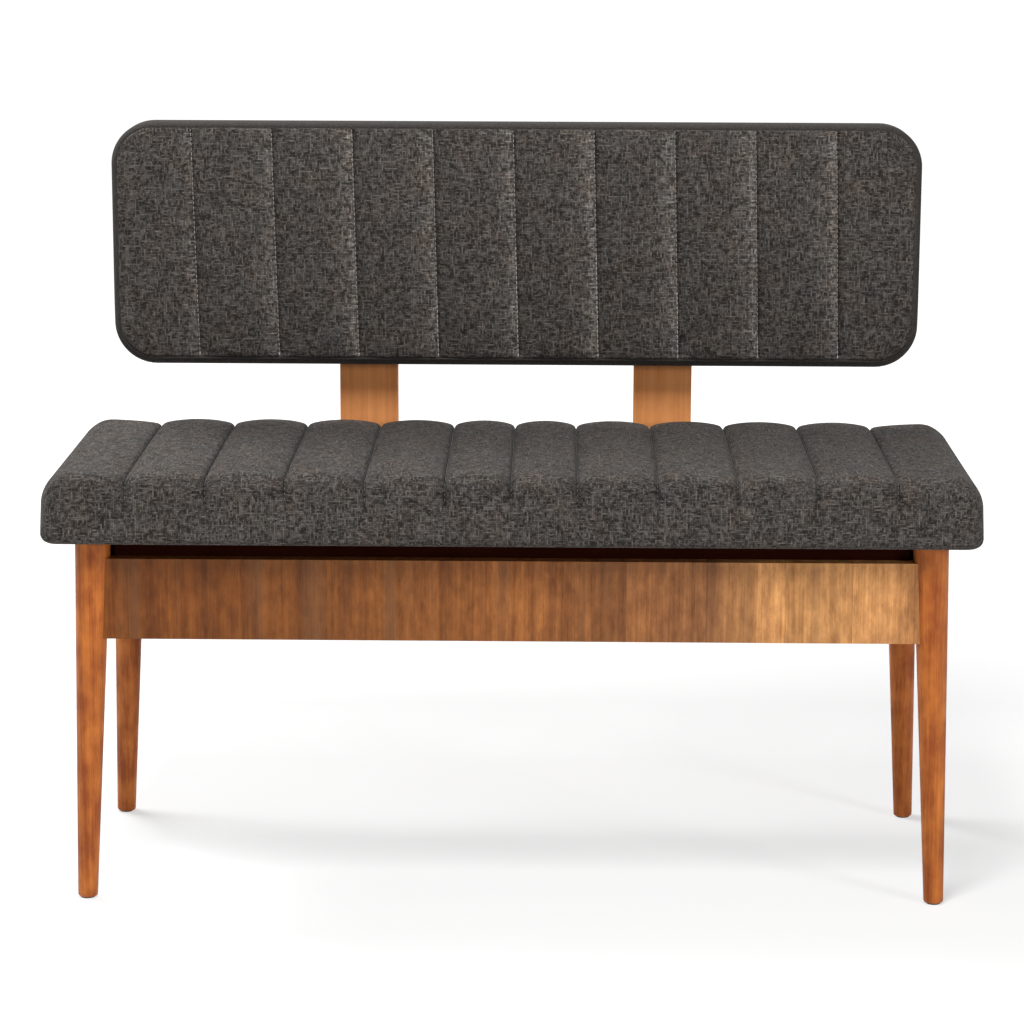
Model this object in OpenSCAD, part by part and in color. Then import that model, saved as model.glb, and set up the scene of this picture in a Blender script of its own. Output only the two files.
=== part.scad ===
// Dining bench with a quilted seat and backrest, on four turned legs and an apron frame.
// The origin is on the floor, below the middle of the bench. The front faces -Y.

/* [Seat cushion] */
// Width of the cushion, end to end
seat_w = 1050; // [960:10:1200]
// Depth of the cushion, front to back
seat_d = 375; // [350:5:440]
// Thickness of the cushion at its crown
seat_t = 81; // [72:1:95]
// Rounding of the cushion's upper edge
seat_top_r = 22; // [12:1:26]
// Rounding of the cushion's lower edge
seat_low_r = 9; // [5:1:11]
// Rounding of the cushion's corners, seen from above
seat_corner_r = 28; // [20:1:40]
// Rise of the cushion's middle over its edges
seat_crown = 3; // [0:0.5:5]
// Width of each of the two channels at the middle
centre_channel_w = 73.5; // [60:0.5:80]
// Width of the channel at each end of the cushion
end_channel_w = 97; // [85:1:110]
// Number of channels between a centre channel and an end channel
side_channels = 4; // [3:1:5]
// Depth of the seat's sewn seams
seam_depth = 6.5; // [3:0.5:8]

/* [Seat inside] */
// Thickness of the plywood seat board
seat_board_t = 15; // [12:1:18]
// Fabric and wadding between the cushion's face and the foam
cover_t = 12; // [10:0.5:14]
// Thickness of a cover where it is turned in over the board's edge
hem_t = 1.6; // [1:0.1:2.5]
// Width of a turned-in hem
hem_w = 16; // [12:1:24]
// Thickness of the cloth that closes the underside and the back
lining_t = 0.8; // [0.5:0.1:1.5]
// Width of the hem that this cloth covers
lining_lap = 8; // [4:1:10]

/* [Legs] */
// Height of the frame, floor to the cushion's underside
frame_h = 417; // [390:1:440]
// Diameter of a leg at its top
leg_top_dia = 40; // [36:1:46]
// Diameter of a leg at the floor
leg_foot_dia = 22.5; // [20:0.5:28]
// Distance of a leg's top from the cushion's end
leg_end_inset = 35.8; // [30:0.1:50]
// Distance of a front leg's top from the cushion's front
leg_front_inset = 23; // [16:1:36]
// Splay of a leg towards the bench's end, top to floor
leg_splay_x = 14; // [4:1:24]
// Splay of a leg towards the front or the back, top to floor
leg_splay_y = 7; // [2:0.5:14]
// Rounding of a foot's edge
foot_round = 3; // [1:0.5:4]
// Depth planed off a foot's rounded end, so that it stands flat
foot_trim = 0.6; // [0.3:0.1:0.8]
// Diameter of the nail-on glide under a foot
glide_dia = 16; // [12:1:18]
// Thickness of the glide
glide_t = 2; // [1:0.5:4]
// Diameter of the glide's nail
glide_nail_dia = 2; // [1.6:0.1:3]
// Length of the glide's nail in the leg
glide_nail_len = 14; // [10:1:20]

/* [Aprons] */
// Height of the apron boards
apron_h = 92; // [86:1:105]
// Thickness of the apron boards
apron_t = 18; // [16:1:20]
// Dark gap between the aprons and the cushion
shadow_gap = 20; // [14:1:24]
// Setback of an apron's outer face behind the leg tops
apron_setback = 8; // [6:0.5:10]
// Depth that an apron's end is let into the leg
housing_depth = 8; // [6:0.5:9]
// Diameter of the frame's dowels
dowel_dia = 8; // [6:1:8]
// Length of the frame's dowels
dowel_len = 30; // [25:1:32]
// Height of the outer dowels of a long apron from the board's edge
long_dowel_edge = 14; // [12:1:18]
// Height of the dowels of a short apron from the board's edge
short_dowel_edge = 30; // [28:1:32]

/* [Seat supports] */
// Thickness of the battens under the seat
batten_t = 22; // [18:1:26]
// Height of the battens
batten_h = 40; // [36:1:44]
// Gap between a batten's end and the leg
batten_end_gap = 3; // [1:0.5:8]
// Thickness of the centre rail
rail_t = 18; // [16:1:24]
// Height of the centre rail
rail_h = 92; // [86:1:100]
// Length of a rail dowel that sits in the apron
rail_dowel_seat = 12; // [8:1:14]
// Distance of the first rail dowel above the rail's lower edge
rail_dowel_edge = 12; // [10:1:16]
// Distance between the rail's two dowels
rail_dowel_pitch = 22; // [16:1:24]

/* [Corner brackets] */
// Distance from the inner corner of the aprons to the bracket's bend
bracket_reach = 48; // [42:1:60]
// Length of a bracket's flange on an apron
bracket_flange = 26; // [20:1:32]
// Height of a bracket
bracket_h = 44; // [34:1:46]
// Thickness of the bracket's steel
bracket_t = 2; // [1.5:0.1:3]
// Distance of a bracket's screws from its mid-height
bracket_screw_rise = 13; // [9:1:14]
// Diameter of the hanger bolts and their nuts' thread
hanger_dia = 8; // [6:1:8]
// Depth that a hanger bolt passes the corner of the aprons, into the leg
hanger_seat = 20; // [16:1:24]

/* [Backrest] */
// Width of the backrest
back_w = 962; // [880:2:1040]
// Height of the backrest
back_h = 290; // [260:1:320]
// Thickness of the backrest
back_t = 50; // [46:1:60]
// Gap between the seat's crown and the backrest
back_gap = 70; // [50:1:120]
// Rounding of the backrest's corners
back_corner_r = 50; // [40:1:60]
// Rounding of the backrest's front edge
back_front_r = 13; // [8:1:15]
// Rounding of the backrest's rear edge
back_rear_r = 3; // [2:0.5:5]
// Rise of the backrest's front face over its edges
back_crown = 5; // [2:0.5:6]
// Width of the channel at each end of the backrest
back_end_channel_w = 99; // [90:1:110]
// Number of the backrest's sewn seams
back_seams = 9; // [7:1:11]
// Sideways run of a backrest seam, top to bottom
back_seam_slant = 7.7; // [0:0.1:12]
// Depth of the backrest's sewn seams
back_seam_depth = 6; // [3:0.5:7]
// Depth of the crease where the front panel is sewn to the edge roll
back_crease = 1.5; // [1:0.5:4]
// Thickness of the backrest's plywood board
back_board_t = 12; // [10:1:15]

/* [Backrest posts] */
// Width of a post
post_w = 70; // [60:1:90]
// Thickness of a post
post_t = 20; // [18:1:26]
// Distance of a post's middle from the bench's middle
post_x = 178; // [140:1:240]
// Gap between the cushion's back and the posts
post_gap = 1.5; // [1:0.5:10]
// Distance of a post's lower end above the aprons' lower edge
post_foot_rise = 5; // [0:1:8]
// Distance of a post's upper end below the backrest's top
post_top_drop = 40; // [25:1:60]
// Distance between the two bolts of a post in the backrest
back_bolt_pitch = 150; // [100:5:180]
// Distance of a post's lower bolt above the aprons' lower edge
post_low_bolt_rise = 20; // [18:1:26]

/* [Fasteners] */
// Diameter of the post bolts
post_bolt_dia = 8; // [6:1:8]
// Diameter of a post bolt's flat head
post_bolt_head_dia = 17; // [14:1:18]
// Thickness of a post bolt's flat head
post_bolt_head_t = 3; // [2:0.5:4]
// Diameter of the bolts in the backrest
back_bolt_dia = 6; // [5:1:6]
// Diameter of such a bolt's flat head
back_bolt_head_dia = 14; // [12:1:16]
// Thickness of such a bolt's flat head
back_bolt_head_t = 2.5; // [2:0.5:3.5]
// Depth that a bolt head lies below the post's face
head_sink = 1; // [0.5:0.5:2]
// Width of a bolt's hexagon socket across its corners
socket_dia = 5.8; // [4:0.2:6.4]
// Diameter of a wood screw
screw_dia = 4; // [3:0.5:5]
// Diameter of a wood screw's head
screw_head_dia = 8; // [7:0.5:9]
// Thickness of a wood screw's head
screw_head_t = 2.5; // [2:0.1:3]
// Length of a bracket screw below its head
bracket_screw_len = 16; // [12:1:17]
// Length of a batten screw below its head
batten_screw_len = 35; // [30:1:37]
// Depth that a seat screw's head is sunk in the batten
seat_screw_sink = 12; // [8:1:16]
// Depth that a seat screw reaches into the seat board
seat_screw_bite = 11; // [8:1:12]

/* [Hidden] */
$fn = 64;

// Clearances, and the overrun of every cut past the face that it opens
wood_fit = 0.1;
housing_fit = 0.2;
foam_fit = 0.3;
head_fit = 0.5;
cut_over = 5;

// Nuts, washers and the bolt length left past a nut, as shares of the thread's diameter
nut_width_share = 1.85;
nut_t_share = 0.8;
washer_width_share = 2;
washer_t_share = 0.2;
thread_end_share = 0.35;

// Width of a tee nut's flange and barrel, as shares of its thread's diameter, and how far its
// flange and barrel go into the board, as shares of the board's thickness
tee_flange_width_share = 3.2;
tee_barrel_width_share = 1.3;
tee_flange_t_share = 0.125;
tee_barrel_len_share = 0.75;

// Least corner radius of what lies inside the cushion, as a share of the cushion's own
least_corner_share = 0.25;

// Heights
seat_top_z = frame_h + seat_t;
hem_z = frame_h + lining_t;
seat_board_z = hem_z + hem_t;
seat_foam_z = seat_board_z + seat_board_t;
apron_z = frame_h - shadow_gap - apron_h;
apron_mid_z = apron_z + apron_h / 2;
batten_z = frame_h - batten_h;
batten_lap_z = batten_z + (batten_h - shadow_gap) / 2;
back_z = seat_top_z + back_gap;
back_mid_z = back_z + back_h / 2;
back_top_z = back_z + back_h;
post_z = apron_z + post_foot_rise;
post_top_z = back_top_z - post_top_drop;

// Depths, from the cushion's front at y_front to the posts' back at y_rear
bench_d = seat_d + post_gap + post_t;
y_front = -bench_d / 2;
y_rear = bench_d / 2;
seat_mid_y = y_front + seat_d / 2;
post_y = y_rear - post_t;
front_apron_y = y_front + leg_front_inset + apron_setback;
front_inner_y = front_apron_y + apron_t;
rear_apron_y = post_y - apron_t;
front_leg_y = y_front + leg_front_inset + leg_top_dia / 2;
rear_leg_y = post_y + apron_setback - leg_top_dia / 2;
back_y = post_y - back_t;
back_board_y = post_y - lining_t - hem_t - back_board_t;

// Widths
leg_top_x = seat_w / 2 - leg_end_inset - leg_top_dia / 2;
side_outer_x = seat_w / 2 - leg_end_inset - apron_setback;
side_inner_x = side_outer_x - apron_t;

// Radius of a leg at a height, and how far its axis has splayed out by there
function leg_r(z) = (leg_foot_dia + (leg_top_dia - leg_foot_dia) * z / frame_h) / 2;
function leg_run(splay, z) = splay * (1 - z / frame_h);

// Ends of the aprons, let into the legs
long_apron_end = leg_top_x + leg_run(leg_splay_x, apron_mid_z) - leg_r(apron_mid_z) + housing_depth;
short_apron_front = front_leg_y - leg_run(leg_splay_y, apron_mid_z) + leg_r(apron_mid_z) - housing_depth;
short_apron_rear = rear_leg_y + leg_run(leg_splay_y, apron_mid_z) - leg_r(apron_mid_z) + housing_depth;
batten_end = leg_top_x - leg_top_dia / 2 - batten_end_gap;

// Screw places along the battens, as shares of a batten's half length
batten_screw_shares = [0.14, 0.6, 0.9];
seat_screw_shares = [0.25, 0.74];
side_screw_shares = [0.3, 0.7];

// Places around a sewn channel, and how full it is there
channel_shares = [0, 0.14, 0.5, 0.86];
puff_share = 0.6;

// Inset of a round corner of radius r at the distance e from its end
function round_in(r, e) = e < r ? r - sqrt(r * r - (r - e) * (r - e)) : 0;

// Depth that a seam draws the cover in, at the share u of the way across a channel
function draw_in(depth, u) = depth * (1 - pow(sin(180 * u), puff_share));

// Points of an arc in the Y-Z plane, each with the share of the seam's depth that it takes
function arc(y, z, r, angles, share) =
    [for (a = angles) [y + r * cos(a), z + r * sin(a), cos(a), sin(a), share]];

// Triangles over a row of closed loops of n points, with flat ends
function loft_faces(loops, n) = concat(
    [for (k = [1 : n - 2]) [0, k + 1, k]],
    [for (k = [1 : n - 2]) [0, k, k + 1] + (loops - 1) * n * [1, 1, 1]],
    [for (i = [0 : loops - 2], k = [0 : n - 1]) [i * n + k, i * n + (k + 1) % n, (i + 1) * n + (k + 1) % n]],
    [for (i = [0 : loops - 2], k = [0 : n - 1]) [i * n + k, (i + 1) * n + (k + 1) % n, (i + 1) * n + k]]
);

// Stations along X through the sewn channels between the given seams: place and depth drawn in
function channel_stations(seams, depth) = concat(
    [for (i = [0 : len(seams) - 2], u = channel_shares)
        [seams[i] + u * (seams[i + 1] - seams[i]), draw_in(depth, u)]],
    [[seams[len(seams) - 1], depth]]
);

// Stations of the rounded left end, from the end face to just before its first seam
function end_stations(half, corner_r, turns, end_w, depth) = concat(
    [for (a = turns) [-half + corner_r * (1 - cos(a)), 0]],
    [[-half + (corner_r + end_w) / 2, 0]],
    [[-half + channel_shares[3] * end_w, draw_in(depth, channel_shares[1])]]
);

function mirrored(stations) = [for (i = [len(stations) - 1 : -1 : 0]) [-stations[i][0], stations[i][1]]];

module loft(stations, loops) {
    n = len(loops[0]);
    polyhedron(
        points = [for (i = [0 : len(stations) - 1], p = loops[i]) [stations[i][0] + p[2], p[0], p[1]]],
        faces = loft_faces(len(stations), n)
    );
}

// Seat seams, and the cushion's stations and loops
side_channel_w = (seat_w / 2 - end_channel_w - centre_channel_w) / side_channels;
half_seat_seams = [for (i = [0 : side_channels]) centre_channel_w + i * side_channel_w];
seat_seams = concat([for (i = [side_channels : -1 : 0]) -half_seat_seams[i]], [0], half_seat_seams);
seat_end_turns = [0, 24, 46, 68, 90];
seat_end = end_stations(seat_w / 2, seat_corner_r, seat_end_turns, end_channel_w, seam_depth);
seat_stations = concat(seat_end, channel_stations(seat_seams, seam_depth), mirrored(seat_end));

// How much of a seam's depth reaches down the cushion's front: none, part, and all of it
seam_fade_shares = [0, 0.4, 0.8, 1];

function seat_loop(e, draw) =
    let (
        half = seat_d / 2 - round_in(seat_corner_r, e),
        low = hem_z + round_in(seat_low_r, e),
        high = seat_top_z - seat_crown - round_in(seat_top_r, e),
        crown = seat_crown * (1 - round_in(seat_top_r, e) / seat_top_r),
        face_low = low + seat_low_r,
        face_high = high - seat_top_r,
        shape = concat(
            arc(-half + seat_low_r, low + seat_low_r, seat_low_r, [270, 225, 180], seam_fade_shares[0]),
            [for (t = [1, 2])
                [-half, face_low + (face_high - face_low) * t / 3, -1, 0, seam_fade_shares[t - 1]]],
            arc(-half + seat_top_r, high - seat_top_r, seat_top_r, [180], seam_fade_shares[2]),
            arc(-half + seat_top_r, high - seat_top_r, seat_top_r, [150, 120, 90], seam_fade_shares[3]),
            [for (t = [-1, 0, 1]) [t * half / 2, high + crown * (1 - t * t / 4), 0, 1, seam_fade_shares[3]]],
            arc(half - seat_top_r, high - seat_top_r, seat_top_r, [90, 60, 30], seam_fade_shares[3]),
            arc(half - seat_top_r, high - seat_top_r, seat_top_r, [0], seam_fade_shares[2]),
            [[half, (face_low + face_high) / 2, 1, 0, seam_fade_shares[1]]],
            arc(half - seat_low_r, low + seat_low_r, seat_low_r, [0, -45, -90], seam_fade_shares[0])
        )
    )
    [for (p = shape) [seat_mid_y + p[0] - draw * p[4] * p[2], p[1] - draw * p[4] * p[3], 0]];

// Backrest seams, stations and loops. The seams lean, and their lean fades out at the round ends
back_pitch = (back_w - 2 * back_end_channel_w) / (back_seams - 1);
back_seam_xs = [for (i = [0 : back_seams - 1]) (i - (back_seams - 1) / 2) * back_pitch];
back_end_turns = [0, 20, 40, 58, 75, 90];
back_end = end_stations(back_w / 2, back_corner_r, back_end_turns, back_end_channel_w, back_seam_depth);
back_stations = concat(back_end, channel_stations(back_seam_xs, back_seam_depth), mirrored(back_end));

// Places up the backrest's front face, from its crease to its middle, and the seam's depth there
back_face_shares = [0, 0.03, 0.26, 0.5, 0.74, 0.97, 1];
back_fade_share = 0.6;

// Whether a place up the front face is on the crease inside the edge roll, low or high
function on_crease(t) = t == back_face_shares[1] || t == back_face_shares[5];

function back_loop(x, draw) =
    let (
        e = back_w / 2 - abs(x),
        low = back_z + round_in(back_corner_r, e),
        high = back_top_z - round_in(back_corner_r, e),
        front = back_y + back_crown + round_in(back_front_r, e),
        crown = back_crown * min(1, e / back_end_channel_w),
        rear = post_y - lining_t - round_in(back_rear_r, e),
        face_low = low + back_front_r,
        face_high = high - back_front_r,
        lean = min(1, max(0, e - back_corner_r) / (back_end_channel_w - back_corner_r)),
        shape = concat(
            arc(front + back_front_r, face_low, back_front_r, [270, 240, 210], 0),
            [for (t = back_face_shares) [
                front - crown * sin(180 * t) + (on_crease(t) ? back_crease : 0),
                face_low + (face_high - face_low) * t,
                -1,
                0,
                t == 0 || t == 1 ? back_fade_share : 1
            ]],
            arc(front + back_front_r, face_high, back_front_r, [150, 120, 90], 0),
            [[rear - back_rear_r, high, 0, 1, 0], [rear, high - back_rear_r, 1, 0, 0]],
            [[rear, low + back_rear_r, 1, 0, 0], [rear - back_rear_r, low, 0, -1, 0]]
        )
    )
    [for (p = shape) [p[0] + draw * p[4], p[1], lean * back_seam_slant * (back_mid_z - p[1]) / back_h]];

// A flat slab with round corners, centred on Z
module slab(w, d, t, r) {
    linear_extrude(t) union() {
        square([w - 2 * r, d], center = true);
        square([w, d - 2 * r], center = true);
        for (x = [-1, 1], y = [-1, 1]) translate([x * (w / 2 - r), y * (d / 2 - r)]) circle(r);
    }
}

// The same slab inset from the cushion's or the backrest's outline by the given distance
module seat_slab(inset, z, t) {
    corner_r = max(seat_corner_r - inset, least_corner_share * seat_corner_r);
    translate([0, seat_mid_y, z]) slab(seat_w - 2 * inset, seat_d - 2 * inset, t, corner_r);
}
module back_slab(inset, y, t) {
    translate([0, y, back_mid_z]) rotate([-90, 0, 0])
        slab(back_w - 2 * inset, back_h - 2 * inset, t, back_corner_r - inset);
}

// Foam heights: it fills what the board and the wadding leave
seat_foam_t = seat_t - lining_t - hem_t - seat_board_t - seam_depth - cover_t / 2 - seat_crown;
back_foam_t = back_t - lining_t - hem_t - back_board_t - back_crown - back_seam_depth - cover_t / 4;

module seat_cover() color([0.25, 0.24, 0.23]) difference() {
    loft(seat_stations, [for (s = seat_stations) seat_loop(seat_w / 2 - abs(s[0]), s[1])]);
    seat_slab(cover_t, seat_board_z, seat_board_t + seat_foam_t + foam_fit);
    seat_slab(seat_low_r + hem_w, hem_z - cut_over, cut_over + hem_t + foam_fit);
    seat_screw_places() screw_bore(seat_screw_len());
}
module seat_foam() color([0.93, 0.88, 0.66])
    seat_slab(cover_t + foam_fit, seat_foam_z, seat_foam_t);
module seat_board() color([0.8, 0.66, 0.46]) difference() {
    seat_slab(cover_t + foam_fit, seat_board_z, seat_board_t);
    seat_screw_places() screw_bore(seat_screw_len());
}
module seat_lining() color([0.12, 0.12, 0.12]) difference() {
    seat_slab(seat_low_r + hem_w - lining_lap, frame_h, lining_t);
    seat_screw_places() screw_bore(seat_screw_len());
}

// A leg stands on its foot point and leans towards its top.
// side is -1 left or 1 right, and end is -1 front or 1 rear
module leg_axis(side, end) {
    run_x = side * leg_splay_x;
    run_y = end * leg_splay_y;
    top_y = end < 0 ? front_leg_y : rear_leg_y;
    translate([side * leg_top_x + run_x, top_y + run_y, 0])
        rotate([0, leg_lean, atan2(-run_y, -run_x)]) children();
}
leg_lean = atan(norm([leg_splay_x, leg_splay_y]) / frame_h);
leg_len = frame_h / cos(leg_lean);
leg_start = (glide_t - foot_trim - leg_foot_dia / 2 * sin(leg_lean)) / cos(leg_lean);

module leg(side, end) color([0.62, 0.34, 0.16]) difference() {
    leg_axis(side, end) rotate(180) rotate_extrude() polygon(concat(
        [[0, leg_start]],
        [for (a = [0 : 30 : 90])
            [leg_r(leg_start) - foot_round * (1 - sin(a)), leg_start + foot_round * (1 - cos(a))]],
        [[leg_r(frame_h), leg_len], [leg_r(frame_h), leg_len + cut_over], [0, leg_len + cut_over]]
    ));
    translate([side * leg_top_x - leg_top_dia, y_front - leg_top_dia, frame_h])
        cube([2 * leg_top_dia, bench_d + 2 * leg_top_dia, leg_top_dia]);
    translate([side * leg_top_x - leg_top_dia, y_front - leg_top_dia, glide_t - cut_over])
        cube([2 * leg_top_dia, bench_d + 2 * leg_top_dia, cut_over]);
    long_apron_board(end, housing_fit);
    short_apron_board(side, housing_fit);
    dowel_places() dowel(wood_fit);
    hanger_places() hanger_bolt_body(wood_fit);
    glide_places() glide_nail(wood_fit);
}
module leg_front_left() leg(-1, -1);
module leg_front_right() leg(1, -1);
module leg_rear_left() leg(-1, 1);
module leg_rear_right() leg(1, 1);

// Glides
module glide_places() {
    for (side = [-1, 1], end = [-1, 1])
        translate([
            side * (leg_top_x + leg_splay_x),
            end < 0 ? front_leg_y - leg_splay_y : rear_leg_y + leg_splay_y,
            0
        ]) children();
}
module glide_nail(fit) {
    cylinder(h = glide_t + glide_nail_len + fit, d = glide_nail_dia + 2 * fit);
}
module foot_glides() color([0.2, 0.17, 0.14]) glide_places() union() {
    cylinder(h = glide_t, d = glide_dia);
    glide_nail(0);
}

// Aprons: plain boards, grown by fit where they are the tool that cuts a housing
module long_apron_board(end, fit) {
    y = end < 0 ? front_apron_y : rear_apron_y;
    translate([-long_apron_end - fit, y - fit, apron_z - fit])
        cube([2 * (long_apron_end + fit), apron_t + 2 * fit, apron_h + 2 * fit]);
}
module short_apron_board(side, fit) {
    x = side < 0 ? -side_outer_x : side_inner_x;
    translate([x - fit, short_apron_front - fit, apron_z - fit])
        cube([apron_t + 2 * fit, short_apron_rear - short_apron_front + 2 * fit, apron_h + 2 * fit]);
}
module long_apron(end) color([0.5, 0.28, 0.13]) difference() {
    long_apron_board(end, 0);
    dowel_places() dowel(wood_fit);
    rail_dowel_places() dowel(wood_fit);
    hanger_places() hanger_bolt_body(wood_fit);
    bracket_screw_places() screw_bore(bracket_screw_len);
    batten_screw_places() screw_bore(batten_screw_len);
    if (end > 0) post_bolt_places() post_bolt_bore();
}
module short_apron(side) color([0.5, 0.28, 0.13]) difference() {
    short_apron_board(side, 0);
    dowel_places() dowel(wood_fit);
    hanger_places() hanger_bolt_body(wood_fit);
    bracket_screw_places() screw_bore(bracket_screw_len);
    batten_screw_places() screw_bore(batten_screw_len);
}
module apron_front() long_apron(-1);
module apron_rear() long_apron(1);
module apron_left() short_apron(-1);
module apron_right() short_apron(1);

// Dowels lie along Z in their own frame, with their middle at its origin
module dowel(fit) {
    cylinder(h = dowel_len + 2 * fit, d = dowel_dia + 2 * fit, center = true);
}
module dowel_places() {
    long_rises = [long_dowel_edge, apron_h - long_dowel_edge];
    short_rises = [short_dowel_edge, apron_h - short_dowel_edge];
    for (side = [-1, 1], y = [front_apron_y, rear_apron_y], z = long_rises)
        translate([side * long_apron_end, y + apron_t / 2, apron_z + z]) rotate([0, 90, 0]) children();
    for (side = [-1, 1], y = [short_apron_front, short_apron_rear], z = short_rises)
        translate([side * (side_inner_x + apron_t / 2), y, apron_z + z]) rotate([90, 0, 0]) children();
}
module rail_dowel_places() {
    shift = dowel_len / 2 - rail_dowel_seat;
    for (y = [front_inner_y + shift, rear_apron_y - shift], z = [0, rail_dowel_pitch])
        translate([0, y, frame_h - rail_h + rail_dowel_edge + z]) rotate([90, 0, 0]) children();
}
module frame_dowels() color([0.85, 0.72, 0.5]) {
    dowel_places() dowel(0);
    rail_dowel_places() dowel(0);
}

// Centre rail, notched over the long battens
module centre_rail() color([0.78, 0.62, 0.42]) difference() {
    translate([-rail_t / 2, front_inner_y, frame_h - rail_h])
        cube([rail_t, rear_apron_y - front_inner_y, rail_h]);
    long_batten_board(-1, housing_fit);
    long_batten_board(1, housing_fit);
    rail_dowel_places() dowel(wood_fit);
}

// Battens, stained dark because they show in the gap under the cushion
module long_batten_board(end, fit) {
    y = end < 0 ? front_inner_y : rear_apron_y - batten_t;
    translate([-batten_end, y - fit, batten_z - fit])
        cube([2 * batten_end, batten_t + 2 * fit, batten_h + 2 * fit]);
}
module long_batten(end) color([0.2, 0.1, 0.06]) difference() {
    long_batten_board(end, 0);
    batten_screw_places() screw_bore(batten_screw_len);
    seat_screw_places() seat_screw_bore();
    if (end > 0) post_bolt_places() post_bolt_bore();
}
module short_batten(side) color([0.2, 0.1, 0.06]) difference() {
    x = side < 0 ? -side_inner_x : side_inner_x - batten_t;
    translate([x, front_inner_y + batten_t, batten_z])
        cube([batten_t, rear_apron_y - front_inner_y - 2 * batten_t, batten_h]);
    batten_screw_places() screw_bore(batten_screw_len);
}
module seat_batten_front() long_batten(-1);
module seat_batten_rear() long_batten(1);
module seat_batten_left() short_batten(-1);
module seat_batten_right() short_batten(1);

// Screws point along +Z in their own frame, with the head's bearing face at its origin
module screw(len) {
    translate([0, 0, -screw_head_t]) cylinder(h = screw_head_t, d = screw_head_dia);
    cylinder(h = len, d = screw_dia);
}
module screw_bore(len) {
    cylinder(h = len + wood_fit, d = screw_dia + 2 * wood_fit);
}
module batten_screw_places() {
    for (side = [-1, 1], share = batten_screw_shares) {
        translate([side * share * batten_end, front_inner_y + batten_t, batten_lap_z])
            rotate([90, 0, 0]) children();
        translate([side * share * batten_end, rear_apron_y - batten_t, batten_lap_z])
            rotate([-90, 0, 0]) children();
    }
    for (side = [-1, 1], share = side_screw_shares)
        translate([
            side * (side_inner_x - batten_t),
            front_inner_y + share * (rear_apron_y - front_inner_y),
            batten_lap_z
        ]) rotate([0, side * 90, 0]) children();
}
function seat_screw_len() = batten_h - seat_screw_sink + lining_t + hem_t + seat_screw_bite;
module seat_screw_places() {
    rows = [front_inner_y + batten_t / 2, rear_apron_y - batten_t / 2];
    for (side = [-1, 1], share = seat_screw_shares, y = rows)
        translate([side * share * batten_end, y, batten_z + seat_screw_sink]) children();
}
module seat_screw_bore() {
    screw_bore(seat_screw_len());
    translate([0, 0, -seat_screw_sink - cut_over])
        cylinder(h = seat_screw_sink + cut_over, d = screw_head_dia + 2 * head_fit);
}
module batten_screws() color([0.75, 0.7, 0.5]) batten_screw_places() screw(batten_screw_len);
module seat_screws() color([0.75, 0.7, 0.5]) seat_screw_places() screw(seat_screw_len());

// The four inner corners of the aprons, each turned so that +X and +Y lead into the frame
module corners() {
    for (side = [-1, 1], end = [-1, 1])
        translate([side * side_inner_x, end < 0 ? front_inner_y : rear_apron_y, apron_mid_z])
            mirror([side > 0 ? 1 : 0, 0, 0]) mirror([0, end > 0 ? 1 : 0, 0]) children();
}
plate_out = bracket_reach / sqrt(2);
module corner_brackets() color([0.75, 0.76, 0.78]) corners() difference() {
    bend = bracket_reach + bracket_t * (sqrt(2) - 1);
    far = bracket_reach + bracket_flange;
    translate([0, 0, -bracket_h / 2]) linear_extrude(bracket_h) polygon([
        [far, 0], [bracket_reach, 0], [0, bracket_reach], [0, far],
        [bracket_t, far], [bracket_t, bend], [bend, bracket_t], [far, bracket_t]
    ]);
    rotate([0, 90, 45]) cylinder(h = 2 * bracket_reach, d = hanger_dia + 2 * head_fit);
    corner_screws() translate([0, 0, -cut_over]) cylinder(h = 2 * cut_over, d = screw_dia + 2 * wood_fit);
}

// A bracket's screws, in the frame of one corner
module corner_screws() {
    along = bracket_reach + bracket_flange / 2;
    for (z = [-bracket_screw_rise, bracket_screw_rise]) {
        translate([along, bracket_t, z]) rotate([90, 0, 0]) children();
        translate([bracket_t, along, z]) rotate([0, -90, 0]) children();
    }
}
module bracket_screw_places() corners() corner_screws() children();
module bracket_screws() color([0.75, 0.7, 0.5]) bracket_screw_places() screw(bracket_screw_len);

// Hanger bolts run along +Z in their own frame, from inside the leg out through the bracket
hanger_washer_t = washer_t_share * hanger_dia;
hanger_nut_t = nut_t_share * hanger_dia;
hanger_grip = hanger_seat + plate_out + bracket_t;
hanger_len = hanger_grip + hanger_washer_t + hanger_nut_t + thread_end_share * hanger_dia;
module hanger_places() corners() rotate([0, 90, 45]) translate([0, 0, -hanger_seat]) children();
module hanger_bolt_body(fit) {
    translate([0, 0, -fit]) cylinder(h = hanger_len + fit, d = hanger_dia + 2 * fit);
}
module washer(dia) {
    difference() {
        cylinder(h = washer_t_share * dia, d = washer_width_share * dia);
        translate([0, 0, -cut_over]) cylinder(h = 2 * cut_over, d = dia + 2 * wood_fit);
    }
}
module nut(dia) {
    difference() {
        cylinder(h = nut_t_share * dia, d = nut_width_share * dia, $fn = 6);
        translate([0, 0, -cut_over]) cylinder(h = nut_t_share * dia + 2 * cut_over, d = dia + 2 * wood_fit);
    }
}
module hanger_bolts() color([0.8, 0.8, 0.82]) hanger_places() hanger_bolt_body(0);
module hanger_washers() color([0.8, 0.8, 0.82])
    hanger_places() translate([0, 0, hanger_grip]) washer(hanger_dia);
module hanger_nuts() color([0.8, 0.8, 0.82])
    hanger_places() translate([0, 0, hanger_grip + hanger_washer_t]) nut(hanger_dia);

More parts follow.
